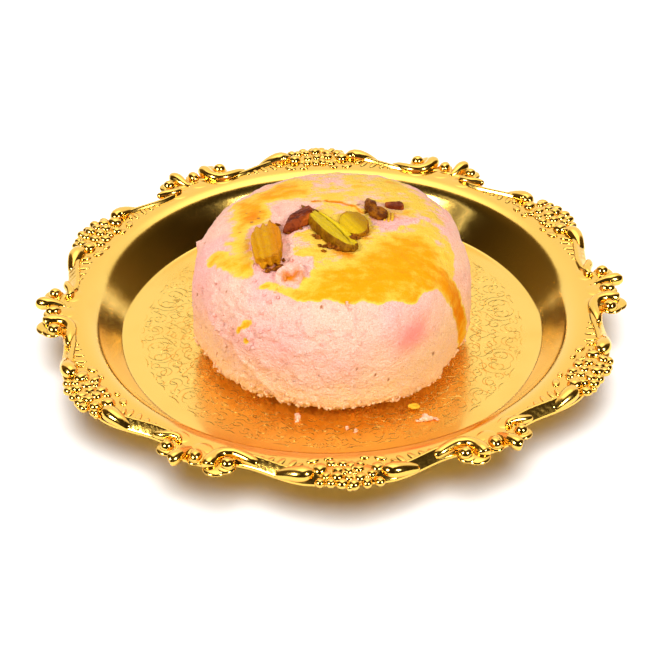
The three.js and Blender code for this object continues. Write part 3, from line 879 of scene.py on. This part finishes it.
def syrup_depth(skin):
    """How deep the syrup has soaked, from 0 to about 1, and where the streak at the right is."""
    wet_u, wet_v = skin.wet_u, skin.wet_v
    blot = 0.45 * skin.slow + 0.4 * skin.middle + 0.3 * skin.small

    def zone(outline, level, low, high, loose=False):
        u, v = (skin.loose_u, skin.loose_v) if loose else (wet_u, wet_v)
        return level * smooth_step(low, high, inside_depth(u, v, outline))

    streak = zone(STREAK, 1, -1.0, 1.0)
    syrup = np.maximum.reduce([
        zone(SOAKED, 0.5 + 0.32 * blot, -0.55, 0.55),
        zone(SOAKED_DEEP, 1.02 + 0.24 * blot, -3.6, 3.6) * zone(SOAKED, 1, -0.4, 0.5),
        zone(LEFT_PATCH, 0.74 + 0.3 * blot, -1.3, 1.3),
        zone(WASHED, 0.3 + 0.3 * blot, -2.5, 3.5, loose=True),
        zone(BACK_LEFT, 0.84 + 0.45 * blot, -2.0, 2.6, loose=True),
        zone(BACK_RIGHT, 0.44 + 0.45 * blot, -2.4, 3.4, loose=True)])
    syrup = syrup - 0.32 * np.clip(spots(wet_u, wet_v, PALLOR), 0, 1)
    for u, v, radius in DROPS:
        drop = radius - np.hypot((wet_u - u) * 0.62, (wet_v - v) * 1.25)
        syrup = np.maximum(syrup, 0.85 * smooth_step(-0.35, 0.35, drop))
    stain = np.hypot(wet_u - STAIN[0], wet_v - STAIN[1])
    syrup = np.maximum.reduce([syrup, 0.9 * smooth_step(4.6, 2.4, stain), 0.95 * streak])
    bare = np.maximum.reduce([smooth_step(1.08, 0.9, skin.lump), smooth_step(1.9, 1.2, skin.strip),
                              0.8 * smooth_step(1.0, 0.3, skin.fold) * smooth_step(-0.4, 0.3, skin.small)])
    return syrup * (1 - bare), streak


def embers_and_kernel_shadows(skin, streak):
    """Where the syrup is orange or red, and the painted orange-brown shadow round the kernels."""
    ember_and_shadow = spots(skin.wet_u, skin.wet_v, EMBERS_AND_KERNEL_SHADOWS) + 0.85 * streak * bump(skin.u - 34, 10)
    seam = (1.3 - 0.06 * (skin.u + 3)) * bump(skin.seam, 0.5) * smooth_step(-0.8, 0.2, skin.small)
    lump = (1.05 + 0.4 * skin.small) * spot(skin.u, skin.v, (-9.0, -18.9), 2.1, (0.75, 1))
    return np.maximum(np.clip(ember_and_shadow + seam, 0, 1), lump)


def curd_colours(skin):
    """Shares of the curd's pinks and creams, of the painted bounce light from the gold, and its dark specks."""
    u, v, slow, small = skin.u, skin.v, skin.slow, skin.small
    from_u, from_v = u - ROSE[0], v - ROSE[1]
    rose = bump(np.hypot(from_u * 0.62 + from_v * 0.42, from_v * 0.95 - from_u * 0.75) + 0.5 * slow, 4.2)
    rose = np.maximum(rose, 0.3 * smooth_step(1.6, 0.6, skin.strip) * smooth_step(-0.5, 0.4, small))
    speck = np.zeros_like(u)
    for speck_u, speck_v, radius in SPECKS:
        away = np.hypot(u - speck_u, v - speck_v) + 0.15 * small
        speck = np.maximum(speck, smooth_step(1.3 * radius, 0.6 * radius, away))
    # Painted bounce light from the gold: peach rising from the foot, higher at the front right and on the left, and a
    # patch on the right side.
    height = (skin.points[..., 2] + 2.4 * slow + 1.2 * skin.middle
              - 12 * bump(turn(skin.turned, -38), 34) - 4 * bump(turn(skin.turned, 205), 25))
    gold_bounce_light = np.maximum(smooth_step(19, 2, height), 0.6 * spot(u, v, (28.5, -7), 5.0, (1.1, 0.6)))
    pale = smooth_step(-0.3, 0.6, 0.7 * slow + 0.8 * spot(u, v, (4, -31), 9) + 0.35 * smooth_step(-6, 8, v))
    torn = np.maximum(smooth_step(1.1, 0.8, skin.lump), smooth_step(1.9, 1.0, skin.strip))
    return dict(rose=rose, gold_bounce_light=gold_bounce_light, pale=np.maximum(pale, 0.9 * torn), speck=speck)


def crumbly_relief(skin, syrup, settings):
    """How far the skin stands out in millimetres, and where it is crumbly."""
    u, v, slow, middle, small = skin.u, skin.v, skin.slow, skin.middle, skin.small
    side = smooth_step(0.9, 0.74, skin.placed)
    dry = 1 - 0.72 * smooth_step(0.3, 0.7, syrup)
    left = smooth_step(14, -22, u) * smooth_step(2, -16, v)
    foot = smooth_step(9, 2.5, skin.points[..., 2])
    # Grains of curd, coarser on the left flank and along the foot.
    coarse = grain(skin.points, settings.crumb / MM, 11)
    lumps = grain(skin.points + 0.4 * np.stack([small, middle, small], -1), 1.9, 12)
    rough_left = left * smooth_step(-0.5, 0.4, slow + middle)
    rough_foot = foot * smooth_step(-0.3, 0.5, slow)
    pits = smooth_step(0.5, 0.8, lattice_noise(skin.points, 0.85, 9)) * dry
    relief = 0.2 * middle * (0.5 + 0.5 * side) + 0.1 * small
    relief += settings.crumb_depth / MM * (coarse - 0.5) * dry * (0.3 + 1.2 * left + 0.8 * foot)
    relief += 0.55 * (lumps - 0.55) * dry * (0.22 + 1.9 * rough_left + 0.8 * rough_foot)
    relief -= 0.2 * pits * (0.3 + left)
    # The lump beside the chunk, hollow in its middle, and the fold, the seam and the bare strip.
    relief += 1.5 * smooth_step(1.08, 0.84, skin.lump) * (
        0.75 + 0.5 * small + 0.3 * lumps - 0.8 * spot(u, v, (-9.0, -18.4), 1.6))
    relief += 0.28 * bump(skin.fold, 0.7) - 0.22 * bump(skin.seam, 0.5) - 0.15 * bump(skin.strip, 1.2)
    crack, _ = line_distance(u, v + 0.5 * middle, FRONT_CRACK)
    relief += (-0.4 * bump(crack, 0.35) + 0.18 * bump(crack, 1.6)) * (0.5 + 0.5 * small)
    # The left flank steps back behind a ragged ridge.
    ridge, ridge_side = line_distance(u, v + 0.4 * middle, FLANK)
    recess = smooth_step(0, 1.6, -ridge_side * ridge) * bump(ridge, 9) * smooth_step(-14, -22, v)
    relief += -0.7 * recess + 0.3 * bump(ridge, 0.9) * smooth_step(-14, -20, v) * (1 + small)
    relief += 1.1 * spot(u, v, (-30.3, 5.0), 1.1) * (0.2 + 1.1 * coarse)
    relief -= (0.5 * foot * (1 - coarse) + 0.35 * foot * (1 - lumps)) * smooth_step(0.08, 0.16, skin.placed)
    return relief, np.clip(left + 0.6 * foot, 0, 1)


def sweet_skin(settings):
    """The sweet's points and painted values, and the normals of the smooth skin below."""
    turned, placed, points, normal = smooth_skin(settings)
    skin = lay_flat(turned, placed, points)
    syrup, streak = syrup_depth(skin)
    relief, crumbly = crumbly_relief(skin, syrup, settings)
    points = points + normal * relief[..., None]
    points[..., 2] = np.maximum(points[..., 2], SHELL + 0.08)
    return points, dict(syrup=syrup, ember_and_shadow=embers_and_kernel_shadows(skin, streak), **curd_colours(skin), crumbly=crumbly), normal


def crumb(place, size, seed, around=22, rings=14):
    points, faces = ball((0, 0, 0), 1, around, rings)
    swell = 1 + 0.6 * lattice_noise(points, 0.5, seed) + 0.4 * lattice_noise(points, 0.25, seed + 1)
    points = points * swell[:, None] * np.array(size)
    points[:, 2] -= points[:, 2].min()
    return points + np.array(place), faces


def clinging_grains(stock, points, painted, normal, count):
    """Loose grains that stick to the foot and the rough left side, painted like the skin below."""
    rng = np.random.default_rng(31)
    z, azimuth = points[..., 2], np.degrees(np.arctan2(points[..., 1], points[..., 0])) % 360
    weight = 3.6 * bump(z - 3.4, 1.9) + 0.55 * painted["crumbly"] * (z > 8) + 0.05
    weight = weight * (1 - smooth_step(0.2, 0.5, painted["syrup"])) * (z > 2.4) * (z < 31)
    spacing = np.linalg.norm(np.gradient(points, axis=1), axis=2)
    weight = weight * (0.35 + 0.65 * bump(turn(azimuth, 245), 60)) * spacing
    chosen = rng.choice(z.size, count, replace=False, p=(weight / weight.sum()).ravel())
    values = {name: [] for name in painted}
    for seed, index in enumerate(chosen):
        size = rng.uniform(0.5, 1.12) ** 2.4 * (0.8 if z.ravel()[index] < 6 else 0.58)
        lump, faces = crumb((0, 0, 0), size * rng.uniform(0.7, 1.3, 3), seed, 10, 7)
        lump[:, 2] -= size / 2
        stock.add(lump + points.reshape(-1, 3)[index] + normal.reshape(-1, 3)[index] * size * 0.06, faces)
        for name, value in painted.items():
            values[name].append(np.full(len(lump), value.ravel()[index]))
    return {name: np.concatenate(value) for name, value in values.items()}


def curd_finish(settings):
    finish = Finish("soaked_curd")
    cloud = finish.noise(2.2, detail=4, roughness=0.6)
    fleck = finish.noise(0.36, detail=3, roughness=0.75)
    speckle = finish.noise(0.26, detail=2, roughness=0.7)
    streak = finish.noise(2.2, detail=5, roughness=0.62, place=finish.stretched((0.6, 1.3, 1.0)))
    grit, fine_grit = finish.grains(0.62), finish.grains(0.34)
    syrup = finish.painted("syrup")
    # Syrup: thin at its edges and in streaks, stronger where it has soaked in.
    mottle = finish.span(streak, 0.25, 0.75, -0.25, 0.25) + finish.span(speckle, 0.3, 0.7, -0.08, 0.08)
    soak = syrup + mottle * finish.span(syrup, 0.0, 0.3)
    pooled = finish.span(soak, 0.7, 1.2) * finish.span(cloud, 0.48, 0.66, 0, 0.24)
    # Orange syrup and painted shadow round the kernels, made uneven by the streaks.
    ember_and_shadow = finish.painted("ember_and_shadow") + finish.span(streak, 0.3, 0.7, -0.2, 0.2)
    # Painted shade in tiny pores, most of them where the curd is crumbly.
    pore_shade = finish.span(finish.noise(0.8, detail=2), 0.6, 0.68) * finish.span(fine_grit, 0.0, 0.3, 1.0, 0.0)
    colour = finish.layered(
        settings.curd,
        (finish.painted("pale"), settings.curd_pale),
        (finish.span(cloud, 0.5, 0.72, 0, 0.4), settings.rose),
        # painted bounce light from the gold, peach towards the foot
        (finish.painted("gold_bounce_light") * finish.span(cloud, 0.2, 0.8, 0.7, 1.0), settings.curd_bounce_light),
        (finish.span(fleck, 0.52, 0.68, 0, 0.6), srgb(254, 224, 210)),
        (finish.span(speckle, 0.46, 0.34, 0, 0.55), srgb(216, 130, 108)),
        (finish.painted("rose") * 0.85, settings.rose),
        (finish.span(soak, 0.08, 0.46), settings.syrup_pale),
        (finish.span(soak, 0.4, 1.15), settings.syrup),
        (pooled, settings.syrup_deep),
        (finish.span(ember_and_shadow, 0.25, 1.0), settings.syrup_deep),
        (finish.painted("speck"), srgb(160, 92, 40)),
        (pore_shade * (finish.painted("crumbly") * 0.45 + 0.3), srgb(212, 128, 104)))
    wet = finish.span(soak, 0.3, 0.8)
    grains = (fleck - (grit * 0.9 + fine_grit * 0.6)) * (1.0 - wet * 0.7)
    finish.surface(Base_Color=colour, Roughness=finish.span(fleck, 0.2, 0.8, 0.7, 0.86) - wet * 0.25,
                   Normal=finish.relief(grains, 0.25, 0.9), Subsurface_Weight=0.1, Subsurface_Scale=0.001,
                   Subsurface_Radius=(1.0, 0.5, 0.3), Specular_IOR_Level=0.07)
    return finish.material


class CHAMCHAM_OT_sweet(Operator):
    """Builds the round curd sweet with its soaked top and crumbly flanks"""

    bl_idname = "cham_cham.sweet"
    bl_label = "Sweet"

    def execute(self, context):
        settings = context.scene.cham_cham_sweet
        points, painted, normal = sweet_skin(settings)
        stock = Stock()
        # The two small holes at the poles are closed with a face each.
        stock.add(points, tube_faces(settings.rings, settings.around))
        curd = curd_finish(settings)
        sweet = stock.piece("cham_cham_curd", [curd], sharp=180)
        paint(sweet, painted)
        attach(sweet, "root")
        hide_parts("cham_cham")
        stock = Stock()
        values = clinging_grains(stock, points, painted, normal, settings.grains)
        grains = stock.piece("clinging_grains", [curd], sharp=180)
        paint(grains, values)
        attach(grains, "root")
        return {"FINISHED"}


# ---- the pistachio ------------------------------------------------------------------


def kernel_skin(length, width, height, cut, place, heading, taper=0.0, square=2.0, roll=0.0, pitch=0.0,
                seed=1, rough=0.12, ribs=0.0, groove=0.0, point=0.0, shear=0.0, ragged=0.0, edge=0.1):
    """A kernel's points, faces and painted values: 1 on the cut face and 0 on the skin."""
    around, rings = 120, 90
    flat, tall = sphere_angles(around, rings)

    def rounded(value):
        return np.sign(value) * np.abs(value) ** (2 / square)

    # The poles lie along the kernel's length.
    along = rounded(np.cos(tall))
    outward = np.abs(along)
    narrowing = (1 + taper * along) * (1 - point * smooth_step(0.3, 1.0, along))
    x = rounded(np.sin(tall) * np.cos(flat)) * narrowing
    z = rounded(np.sin(tall) * np.sin(flat)) * narrowing
    face = smooth_step(cut - edge, cut + 0.02, z)
    z = z - np.maximum(z - (cut - edge * 0.7), 0) * 0.9
    points = np.stack([x * width / 2, (along + shear * x) * length / 2, z * height / 2], -1)
    coarse = lattice_noise(points, 1.7, seed)
    wrinkle = 1 - 2 * np.abs(lattice_noise(points * [1, 0.45, 1], 0.8, seed + 20))
    fine = lattice_noise(points, 0.45, seed + 40)
    rib = np.cos(x * 12.5 + 0.9 * along + 0.9 * coarse)
    # The groove where the kernel splits, sunk into the cut face; the finish paints it darker as shade.
    fold = bump(x - 0.1 - 0.34 * np.cos(along * 1.9 - 0.2), 0.085) * face * smooth_step(0.95, 0.6, outward)
    relief = rough * (coarse + 0.45 * wrinkle + 0.25 * fine) + ribs * rib * np.abs(narrowing) - groove * fold
    normal = unit(np.stack([x * (1 - face), 0.3 * along, z * (1 - face) + face], -1), 1e-9)
    points = points + normal * relief[..., None]
    points[..., 1] += ragged * smooth_step(0.6, 1.0, outward) * np.sign(along) * (coarse + 0.8 * fine + 0.5 * rib)
    ends = [[0, row[:, 1].mean(), row[:, 2].mean()] for row in (points[0], points[-1])]
    turned = (Matrix.Rotation(radians(heading), 3, "Z") @ Matrix.Rotation(radians(pitch), 3, "X")
              @ Matrix.Rotation(radians(roll), 3, "Y"))
    placed = np.concatenate([points.reshape(-1, 3), ends]) @ np.array(turned).T + np.array(place)
    # Each painted value, and what it is at the two poles.
    painted = {name: np.append(value.ravel(), [at_pole] * 2) for name, value, at_pole in (
        ("cut", face, 0.5), ("across", x, 0), ("fold", fold * min(1, 2 * groove), 0), ("rib", rib, 0),
        ("tip", smooth_step(0.82, 1.0, outward + 0.12 * coarse), 1))}
    return placed, pole_faces(rings - 1, around), painted


def kernel_finish(name, flesh, flesh_dark, skin, skin_light, streaks=1.0, skin_share=1.0, painted_side_light_and_tint=None,
                  painted_side_light_span=(0.15, 0.6), fringe=None):
    """Cut kernel: streaked flesh on the cut face, papery wrinkled skin elsewhere, and painted light and shade across
    the cut face.
    """
    finish = Finish(name)
    fibre = finish.noise(0.5, detail=4, roughness=0.65)
    cloud = finish.noise(1.6, detail=3)
    across = finish.painted("across")
    lines = finish.maths("SINE", across * 21.0 + cloud * 16.0)
    # Darker flesh in streaks and clouds, and painted shade in the troughs between the ribs.
    dark = finish.largest(finish.span(lines, 0.2, 1.0) * (0.35 * streaks), finish.span(cloud, 0.55, 0.75, 0, 0.6),
                          finish.span(finish.painted("rib"), 0.1, -0.9, 0, 0.6 * min(streaks, 1)))
    body = finish.blend(dark, flesh, flesh_dark)
    # A colour given for the side is painted across the cut face: painted light along one side of the sliver, painted
    # shade along one side of the olive half, and an ochre tint along one side of the soaked chunk.
    if painted_side_light_and_tint:
        body = finish.blend(finish.span(across, *painted_side_light_span, 0, 0.8), body, painted_side_light_and_tint)
    # Painted shade darkens the groove where the kernel splits; the broken ends are brown.
    body = finish.layered(body, (finish.painted("fold") * 0.8, srgb(110, 84, 4)),
                          (finish.painted("tip") * 0.6, srgb(158, 84, 14)))
    papery = finish.layered(skin, (finish.span(cloud, 0.4, 0.62), skin_light),
                            (finish.span(finish.noise(0.35, detail=2), 0.6, 0.72, 0, 0.8), srgb(66, 30, 6)))
    if fringe:
        papery = finish.blend(finish.span(across, 0.8, 1.0, 0, 0.75), papery, fringe)
    share = finish.painted("cut") + finish.span(fibre, 0.3, 0.7, -0.25, 0.25)
    peeled = finish.span(share, 0.5 * skin_share, 0.5 * skin_share + 0.25)
    finish.surface(Base_Color=finish.blend(peeled, papery, body), Roughness=finish.span(fibre, 0.3, 0.7, 0.3, 0.5),
                   Normal=finish.relief(lines * 0.1 + fibre, 0.25, 0.8), Specular_IOR_Level=0.05)
    return finish.material


def add_kernels(name, node, slot, material, *kernels):
    stock = Stock()
    painted = []
    for kernel in kernels:
        points, faces, values = kernel_skin(**kernel)
        stock.add(points, faces)
        painted.append(values)
    piece = stock.piece(name, [material], sharp=50)
    paint(piece, {key: np.concatenate([values[key] for values in painted]) for key in painted[0]})
    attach(piece, "root")
    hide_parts(node)


class CHAMCHAM_OT_pistachio(Operator):
    """Builds the six pieces of pistachio kernel on top of the sweet"""

    bl_idname = "cham_cham.pistachio"
    bl_label = "Pistachio"

    def execute(self, context):
        settings = context.scene.cham_cham_pistachio
        red_flesh = (srgb(124, 50, 18), srgb(70, 22, 8))
        # The sliver gets a painted highlight along one side of its cut face, the olive half painted shade along one
        # side, and the soaked chunk an ochre tint.
        green = kernel_finish("fresh_kernel", settings.flesh, settings.flesh_dark, settings.skin_olive,
                              srgb(150, 100, 6), 0.45, painted_side_light_and_tint=srgb(232, 200, 22))
        olive = kernel_finish("olive_kernel", srgb(208, 168, 16), settings.flesh_dark, srgb(122, 68, 2),
                              srgb(160, 100, 6), 0.5, 0.8, painted_side_light_and_tint=srgb(150, 100, 6), painted_side_light_span=(-0.35, 0.6))
        ochre = kernel_finish("soaked_kernel", srgb(206, 146, 2), settings.ochre_dark, srgb(178, 112, 4),
                              srgb(206, 136, 6), 0.7, 0.1, painted_side_light_and_tint=settings.ochre)
        skin = kernel_finish("kernel_skin", *red_flesh, settings.skin, srgb(138, 58, 20), 0.5, 3.0,
                             fringe=srgb(188, 90, 22))
        flake = kernel_finish("flake_skin", *red_flesh, srgb(106, 40, 16), srgb(150, 70, 28), 0.5, 3.0)
        brown = kernel_finish("brown_kernel", srgb(140, 78, 6), srgb(80, 36, 4), srgb(92, 42, 4),
                              srgb(148, 84, 8), 0.6, 3.0)
        add_kernels("pistachio_sliver_cut", "pistachio_sliver", "pistachio_green", green, dict(
            length=20.6, width=6.0, height=4.9, cut=0.5, taper=-0.26, place=(-0.9, -6.8, 32.35), heading=29,
            roll=20, seed=3, groove=0.6, rough=0.16, point=0.5, ragged=0.3, edge=0.22))
        add_kernels("pistachio_half_cut", "pistachio_half", "pistachio_green", olive, dict(
            length=8.8, width=5.5, height=5.3, cut=0.52, taper=0.1, place=(4.8, -6.2, 32.4), heading=24,
            roll=-14, seed=5, rough=0.2, edge=0.5, ragged=0.1))
        add_kernels("pistachio_wedge_skin", "pistachio_wedge", "pistachio_skin", skin, dict(
            length=9.0, width=3.9, height=4.6, cut=0.8, taper=0.35, place=(-6.9, -3.9, 32.2), heading=-42,
            roll=-16, pitch=4, seed=8, rough=0.34, edge=0.4, ragged=0.3))
        add_kernels("pistachio_chunk_ribbed", "pistachio_chunk", "pistachio_ochre", ochre, dict(
            length=14.2, width=6.2, height=4.8, cut=0.6, square=3.0, place=(-13.7, -11.4, 31.8), heading=3,
            roll=-8, pitch=-3, seed=11, ribs=0.17, rough=0.22, shear=0.08, ragged=0.42, edge=0.3))
        lobe = dict(cut=0.8, edge=0.4)
        add_kernels(
            "pistachio_lobes_brown", "pistachio_lobes", "pistachio_skin", brown,
            dict(length=4.6, width=2.6, height=3.2, place=(8.7, 0.8, 32.2), heading=10, seed=14, rough=0.3, **lobe),
            dict(length=4.8, width=3.0, height=3.3, place=(10.0, -2.0, 32.3), heading=35, seed=16, rough=0.32, **lobe))
        add_kernels("pistachio_flake_dark", "pistachio_flake", "pistachio_skin", flake, dict(
            length=3.9, width=1.9, height=2.4, cut=0.5, taper=0.1, square=3.5, place=(13.8, 1.5, 31.7),
            heading=-98, pitch=3, seed=18, rough=0.16, shear=0.15))
        return {"FINISHED"}


# ---- crumbs -------------------------------------------------------------------------


# Crumbs of curd on the tray: place and size.
FLOOR_CRUMBS = (
    ((-8.9, -31.6), (1.4, 1.6, 1.2)), ((1.2, -35.5), (0.8, 0.8, 0.6)), ((3.0, -36.7), (0.9, 0.8, 0.7)),
    ((17.9, -33.7), (2.3, 1.7, 1.2)), ((15.9, -34.2), (0.7, 0.6, 0.5)), ((20.0, -34.0), (0.6, 0.8, 0.5)),
)
# Dark bits of kernel skin on the sweet, mostly under the lower ends of the kernels: place and size.
KERNEL_CRUMBS = (
    (-0.8, -13.5, 1.0), (0.1, -14.2, 1.1), (1.1, -14.8, 1.2), (2.1, -14.5, 1.3), (3.2, -14.3, 1.2),
    (3.8, -13.3, 1.1), (-3.8, -9.4, 0.9), (-3.0, -10.2, 1.0), (-2.8, -13.1, 0.8), (-1.7, -13.6, 0.9),
    (-1.1, -13.1, 0.8), (4.7, -9.9, 1.0), (5.3, -10.8, 0.8), (4.0, -11.5, 1.3), (-11.5, -4.4, 1.0),
    (-15.0, -18.4, 0.8), (-13.8, -18.9, 1.0), (-12.3, -19.0, 1.1), (-11.1, -18.4, 1.0), (-10.4, -16.7, 0.7),
    (-4.6, -0.5, 0.7), (-6.4, -6.2, 0.6), (-9.2, -7.5, 0.6), (-2.2, -14.9, 0.7), (-2.6, -9.3, 0.8),
    (2.9, -12.6, 1.2), (7.4, -0.8, 0.5), (8.2, 2.7, 0.5), (11.4, 0.4, 0.4),
)
# Pale strands beside the brown lobes: both ends of each.
STRANDS = (((11.6, -1.0), (11.2, -4.4)), ((12.3, -0.6), (12.0, -4.9)), ((13.1, -0.9), (12.8, -4.4)))


def flecked_finish(name, dark, light, roughness=0.5, depth=0.2):
    finish = Finish(name)
    fleck = finish.noise(0.5, detail=3)
    finish.surface(Base_Color=finish.blend(finish.span(fleck, 0.35, 0.7), dark, light), Roughness=roughness,
                   Normal=finish.relief(fleck, depth), Specular_IOR_Level=0.05)
    return finish.material


class CHAMCHAM_OT_crumbs(Operator):
    """Builds the crumbs of curd and pistachio that have fallen on the tray and the sweet"""

    bl_idname = "cham_cham.crumbs"
    bl_label = "Crumbs"

    def execute(self, context):
        scale = context.scene.cham_cham_crumbs.scale
        stock = Stock()
        rng = np.random.default_rng(9)
        for seed, ((x, y), size) in enumerate(FLOOR_CRUMBS):
            stock.add(*crumb((x, y, SHELL), scale * 0.8 * np.array(size), 40 + seed))
            # Small grains lie round each crumb, more of them round a larger one.
            for grain_seed in range(int(6 * size[0])):
                away = rng.normal(0, 0.3, 2) * size[:2]
                small = scale * rng.uniform(0.3, 0.6) * np.array(size)
                stock.add(*crumb((x + away[0], y + away[1], SHELL), small, 50 + grain_seed, 14, 9))
        fallen = stock.piece("fallen_curd_crumbs", [
            flecked_finish("curd_crumb", srgb(236, 168, 132), srgb(250, 206, 178), roughness=0.75)])
        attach(fallen, "root")

        rng = np.random.default_rng(5)
        stock = Stock()
        for seed, (x, y, size) in enumerate(KERNEL_CRUMBS):
            shape = scale * size * np.array((rng.uniform(0.9, 1.6), rng.uniform(0.8, 1.2), 0.8))
            stock.add(*crumb((x, y, top_of_sweet(x, y) - 0.15), shape, 70 + seed))
        bits = stock.piece("pistachio_crumbs", [flecked_finish("kernel_crumb", srgb(96, 44, 4), srgb(160, 92, 12))])
        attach(bits, "root")

        stock = Stock()
        for start, end in STRANDS:
            middle = ((start[0] + end[0]) / 2 + 0.15, (start[1] + end[1]) / 2)
            line = [(x, y, top_of_sweet(x, y) + 0.12) for x, y in (start, middle, end)]
            stock.add(*roll_of_metal(line, (0.22, 0.34, 0.24), sides=12, steps=20))
        # One larger pale flake lies on the tray.
        stock.add(*crumb((15.5, -29.6, SHELL), scale * np.array((2.8, 1.3, 0.9)), 66))
        strands = stock.piece("pistachio_strands", [
            flecked_finish("pale_strand", srgb(226, 178, 50), srgb(200, 140, 24), depth=0.1)])
        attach(strands, "root")
        return {"FINISHED"}


# ---- stage --------------------------------------------------------------------------


def surroundings(scene, brightness):
    """A white sweep behind and above, and darkness before the tray, apart from the lamps."""
    scene.world = bpy.data.worlds.new("studio")
    sky = Nodes(scene.world)
    output = sky.tree.nodes.new("ShaderNodeOutputWorld")
    background = sky.tree.nodes.new("ShaderNodeBackground")
    sky.tree.links.new(background.outputs[0], output.inputs["Surface"])
    axes = sky.tree.nodes.new("ShaderNodeSeparateXYZ")
    sky.put(axes.inputs[0], sky.node("TexCoord", "Generated"))
    x, y, z = (Wire(sky, socket) for socket in axes.outputs)
    # The white sweep behind ends on the left and right in lines that rise to the zenith.
    lit = sky.span(y - sky.largest(x * 0.83, x * -1.19) + z * 0.17, -0.06, 0.08)
    dark = sky.span(y, -0.2, 0.7, 0.025, 0.13)
    bright = sky.span(z, 0.72, 0.97, 0.95, 2.1)
    sky.put(background.inputs["Strength"], (dark + lit * bright) * brightness)
    sky.put(background.inputs["Color"], sky.blend(lit, (1.0, 0.66, 0.22, 1.0), (1.0, 0.985, 0.965, 1.0)))


# Soft boxes: azimuth, elevation, width, height, brightness seen from the tray, and whether it
# lights the table alone or spares it.
LAMP_DISTANCE = 0.7
LAMPS = {
    "left_soft_box": (217, 37, 0.2, 0.2, 32.5, False),
    "right_soft_box": (-51, 37, 0.15, 0.15, 54, False),
    "side_strip": (189, 42, 0.03, 0.36, 1.4, False),
    "table_soft_box": (-90, 82, 0.95, 0.95, 3.7, True),
}


def soft_box(name, azimuth, elevation, width, height, radiance, only_table, table):
    light = bpy.data.lights.new(name, "AREA")
    light.shape = "RECTANGLE"
    light.size = width
    light.size_y = height
    light.energy = radiance * np.pi * width * height
    lamp = bpy.data.objects.new(name, light)
    target = Vector((0, 0, 0.02))
    level = cos(radians(elevation))
    lamp.location = target + LAMP_DISTANCE * Vector(
        (level * cos(radians(azimuth)), level * sin(radians(azimuth)), sin(radians(elevation))))
    lamp.rotation_euler = (lamp.location - target).to_track_quat("Z", "Y").to_euler()
    bpy.context.scene.collection.objects.link(lamp)
    receivers = bpy.data.collections.new(name + "_receivers")
    receivers.objects.link(table)
    receivers.collection_objects[0].light_linking.link_state = "INCLUDE" if only_table else "EXCLUDE"
    lamp.light_linking.receiver_collection = receivers


def add_camera(scene, focal_length):
    """A camera at the photo's angle."""
    lens = bpy.data.cameras.new("camera")
    lens.lens = focal_length
    lens.sensor_width = 36
    lens.clip_start = 0.01
    camera = bpy.data.objects.new("camera", lens)
    place = Vector((-0.01809, -0.40254, 0.28965))
    right = Vector((0.99853, -0.05201, -0.01522))
    back = Vector((-0.03353, -0.81360, 0.58046))
    axes = Matrix((right, back.cross(right), back)).transposed()
    camera.matrix_world = Matrix.Translation(place) @ axes.to_4x4()
    scene.collection.objects.link(camera)
    scene.camera = camera


class CHAMCHAM_OT_stage(Operator):
    """Sets up the table, the soft light and the camera"""

    bl_idname = "cham_cham.stage"
    bl_label = "Stage"

    def execute(self, context):
        scene = context.scene
        settings = scene.cham_cham_stage
        scene.view_settings.view_transform = "Standard"
        surroundings(scene, settings.sky)
        finish = Finish("pale_table")
        cloudy = finish.span(finish.noise(25, detail=3), 0.3, 0.7, 0, 0.25)
        finish.surface(Base_Color=finish.blend(cloudy, settings.floor, (0.84, 0.83, 0.81, 1)),
                       Roughness=0.8, Specular_IOR_Level=0.2)
        stock = Stock()
        reach = np.linspace(-3000, 3000, 9)
        x, y = np.meshgrid(reach, reach)
        stock.add(np.stack([x, y, 0 * x], -1), grid_faces(9, 9, closed=False))
        table = stock.piece("table", [finish.material])
        for name, (*shape, radiance, only_table) in LAMPS.items():
            soft_box(name, *shape, radiance * settings.lamp, only_table, table)
        add_camera(scene, settings.lens)
        return {"FINISHED"}


# ---- panel and registration ---------------------------------------------------------


class CHAMCHAM_PT_parts(Panel):
    """Lists the settings and the builders of the plate of cham cham"""

    bl_idname = "CHAMCHAM_PT_parts"
    bl_label = "Plate of Cham Cham"
    bl_space_type = "VIEW_3D"
    bl_region_type = "UI"
    bl_category = "Cham Cham"

    def draw(self, context):
        for operator, name, group in BUILDERS:
            box = self.layout.box()
            box.operator(operator.bl_idname)
            for setting in group.__annotations__:
                box.prop(getattr(context.scene, name), setting)


# Each builder, with the name and the group of its settings.
BUILDERS = (
    (CHAMCHAM_OT_stage, "cham_cham_stage", ChamChamStageSettings),
    (CHAMCHAM_OT_tray, "cham_cham_tray", ChamChamTraySettings),
    (CHAMCHAM_OT_sweet, "cham_cham_sweet", ChamChamSweetSettings),
    (CHAMCHAM_OT_pistachio, "cham_cham_pistachio", ChamChamPistachioSettings),
    (CHAMCHAM_OT_crumbs, "cham_cham_crumbs", ChamChamCrumbSettings),
)


def register():
    for operator, name, group in BUILDERS:
        bpy.utils.register_class(group)
        setattr(bpy.types.Scene, name, PointerProperty(type=group))
        bpy.utils.register_class(operator)
    bpy.utils.register_class(CHAMCHAM_PT_parts)


def unregister():
    bpy.utils.unregister_class(CHAMCHAM_PT_parts)
    for operator, name, group in reversed(BUILDERS):
        bpy.utils.unregister_class(operator)
        delattr(bpy.types.Scene, name)
        bpy.utils.unregister_class(group)


def main():
    register()
    bpy.ops.cham_cham.stage()
    bpy.ops.cham_cham.tray()
    bpy.ops.cham_cham.sweet()
    bpy.ops.cham_cham.pistachio()
    bpy.ops.cham_cham.crumbs()


if __name__ == "__main__":
    main()
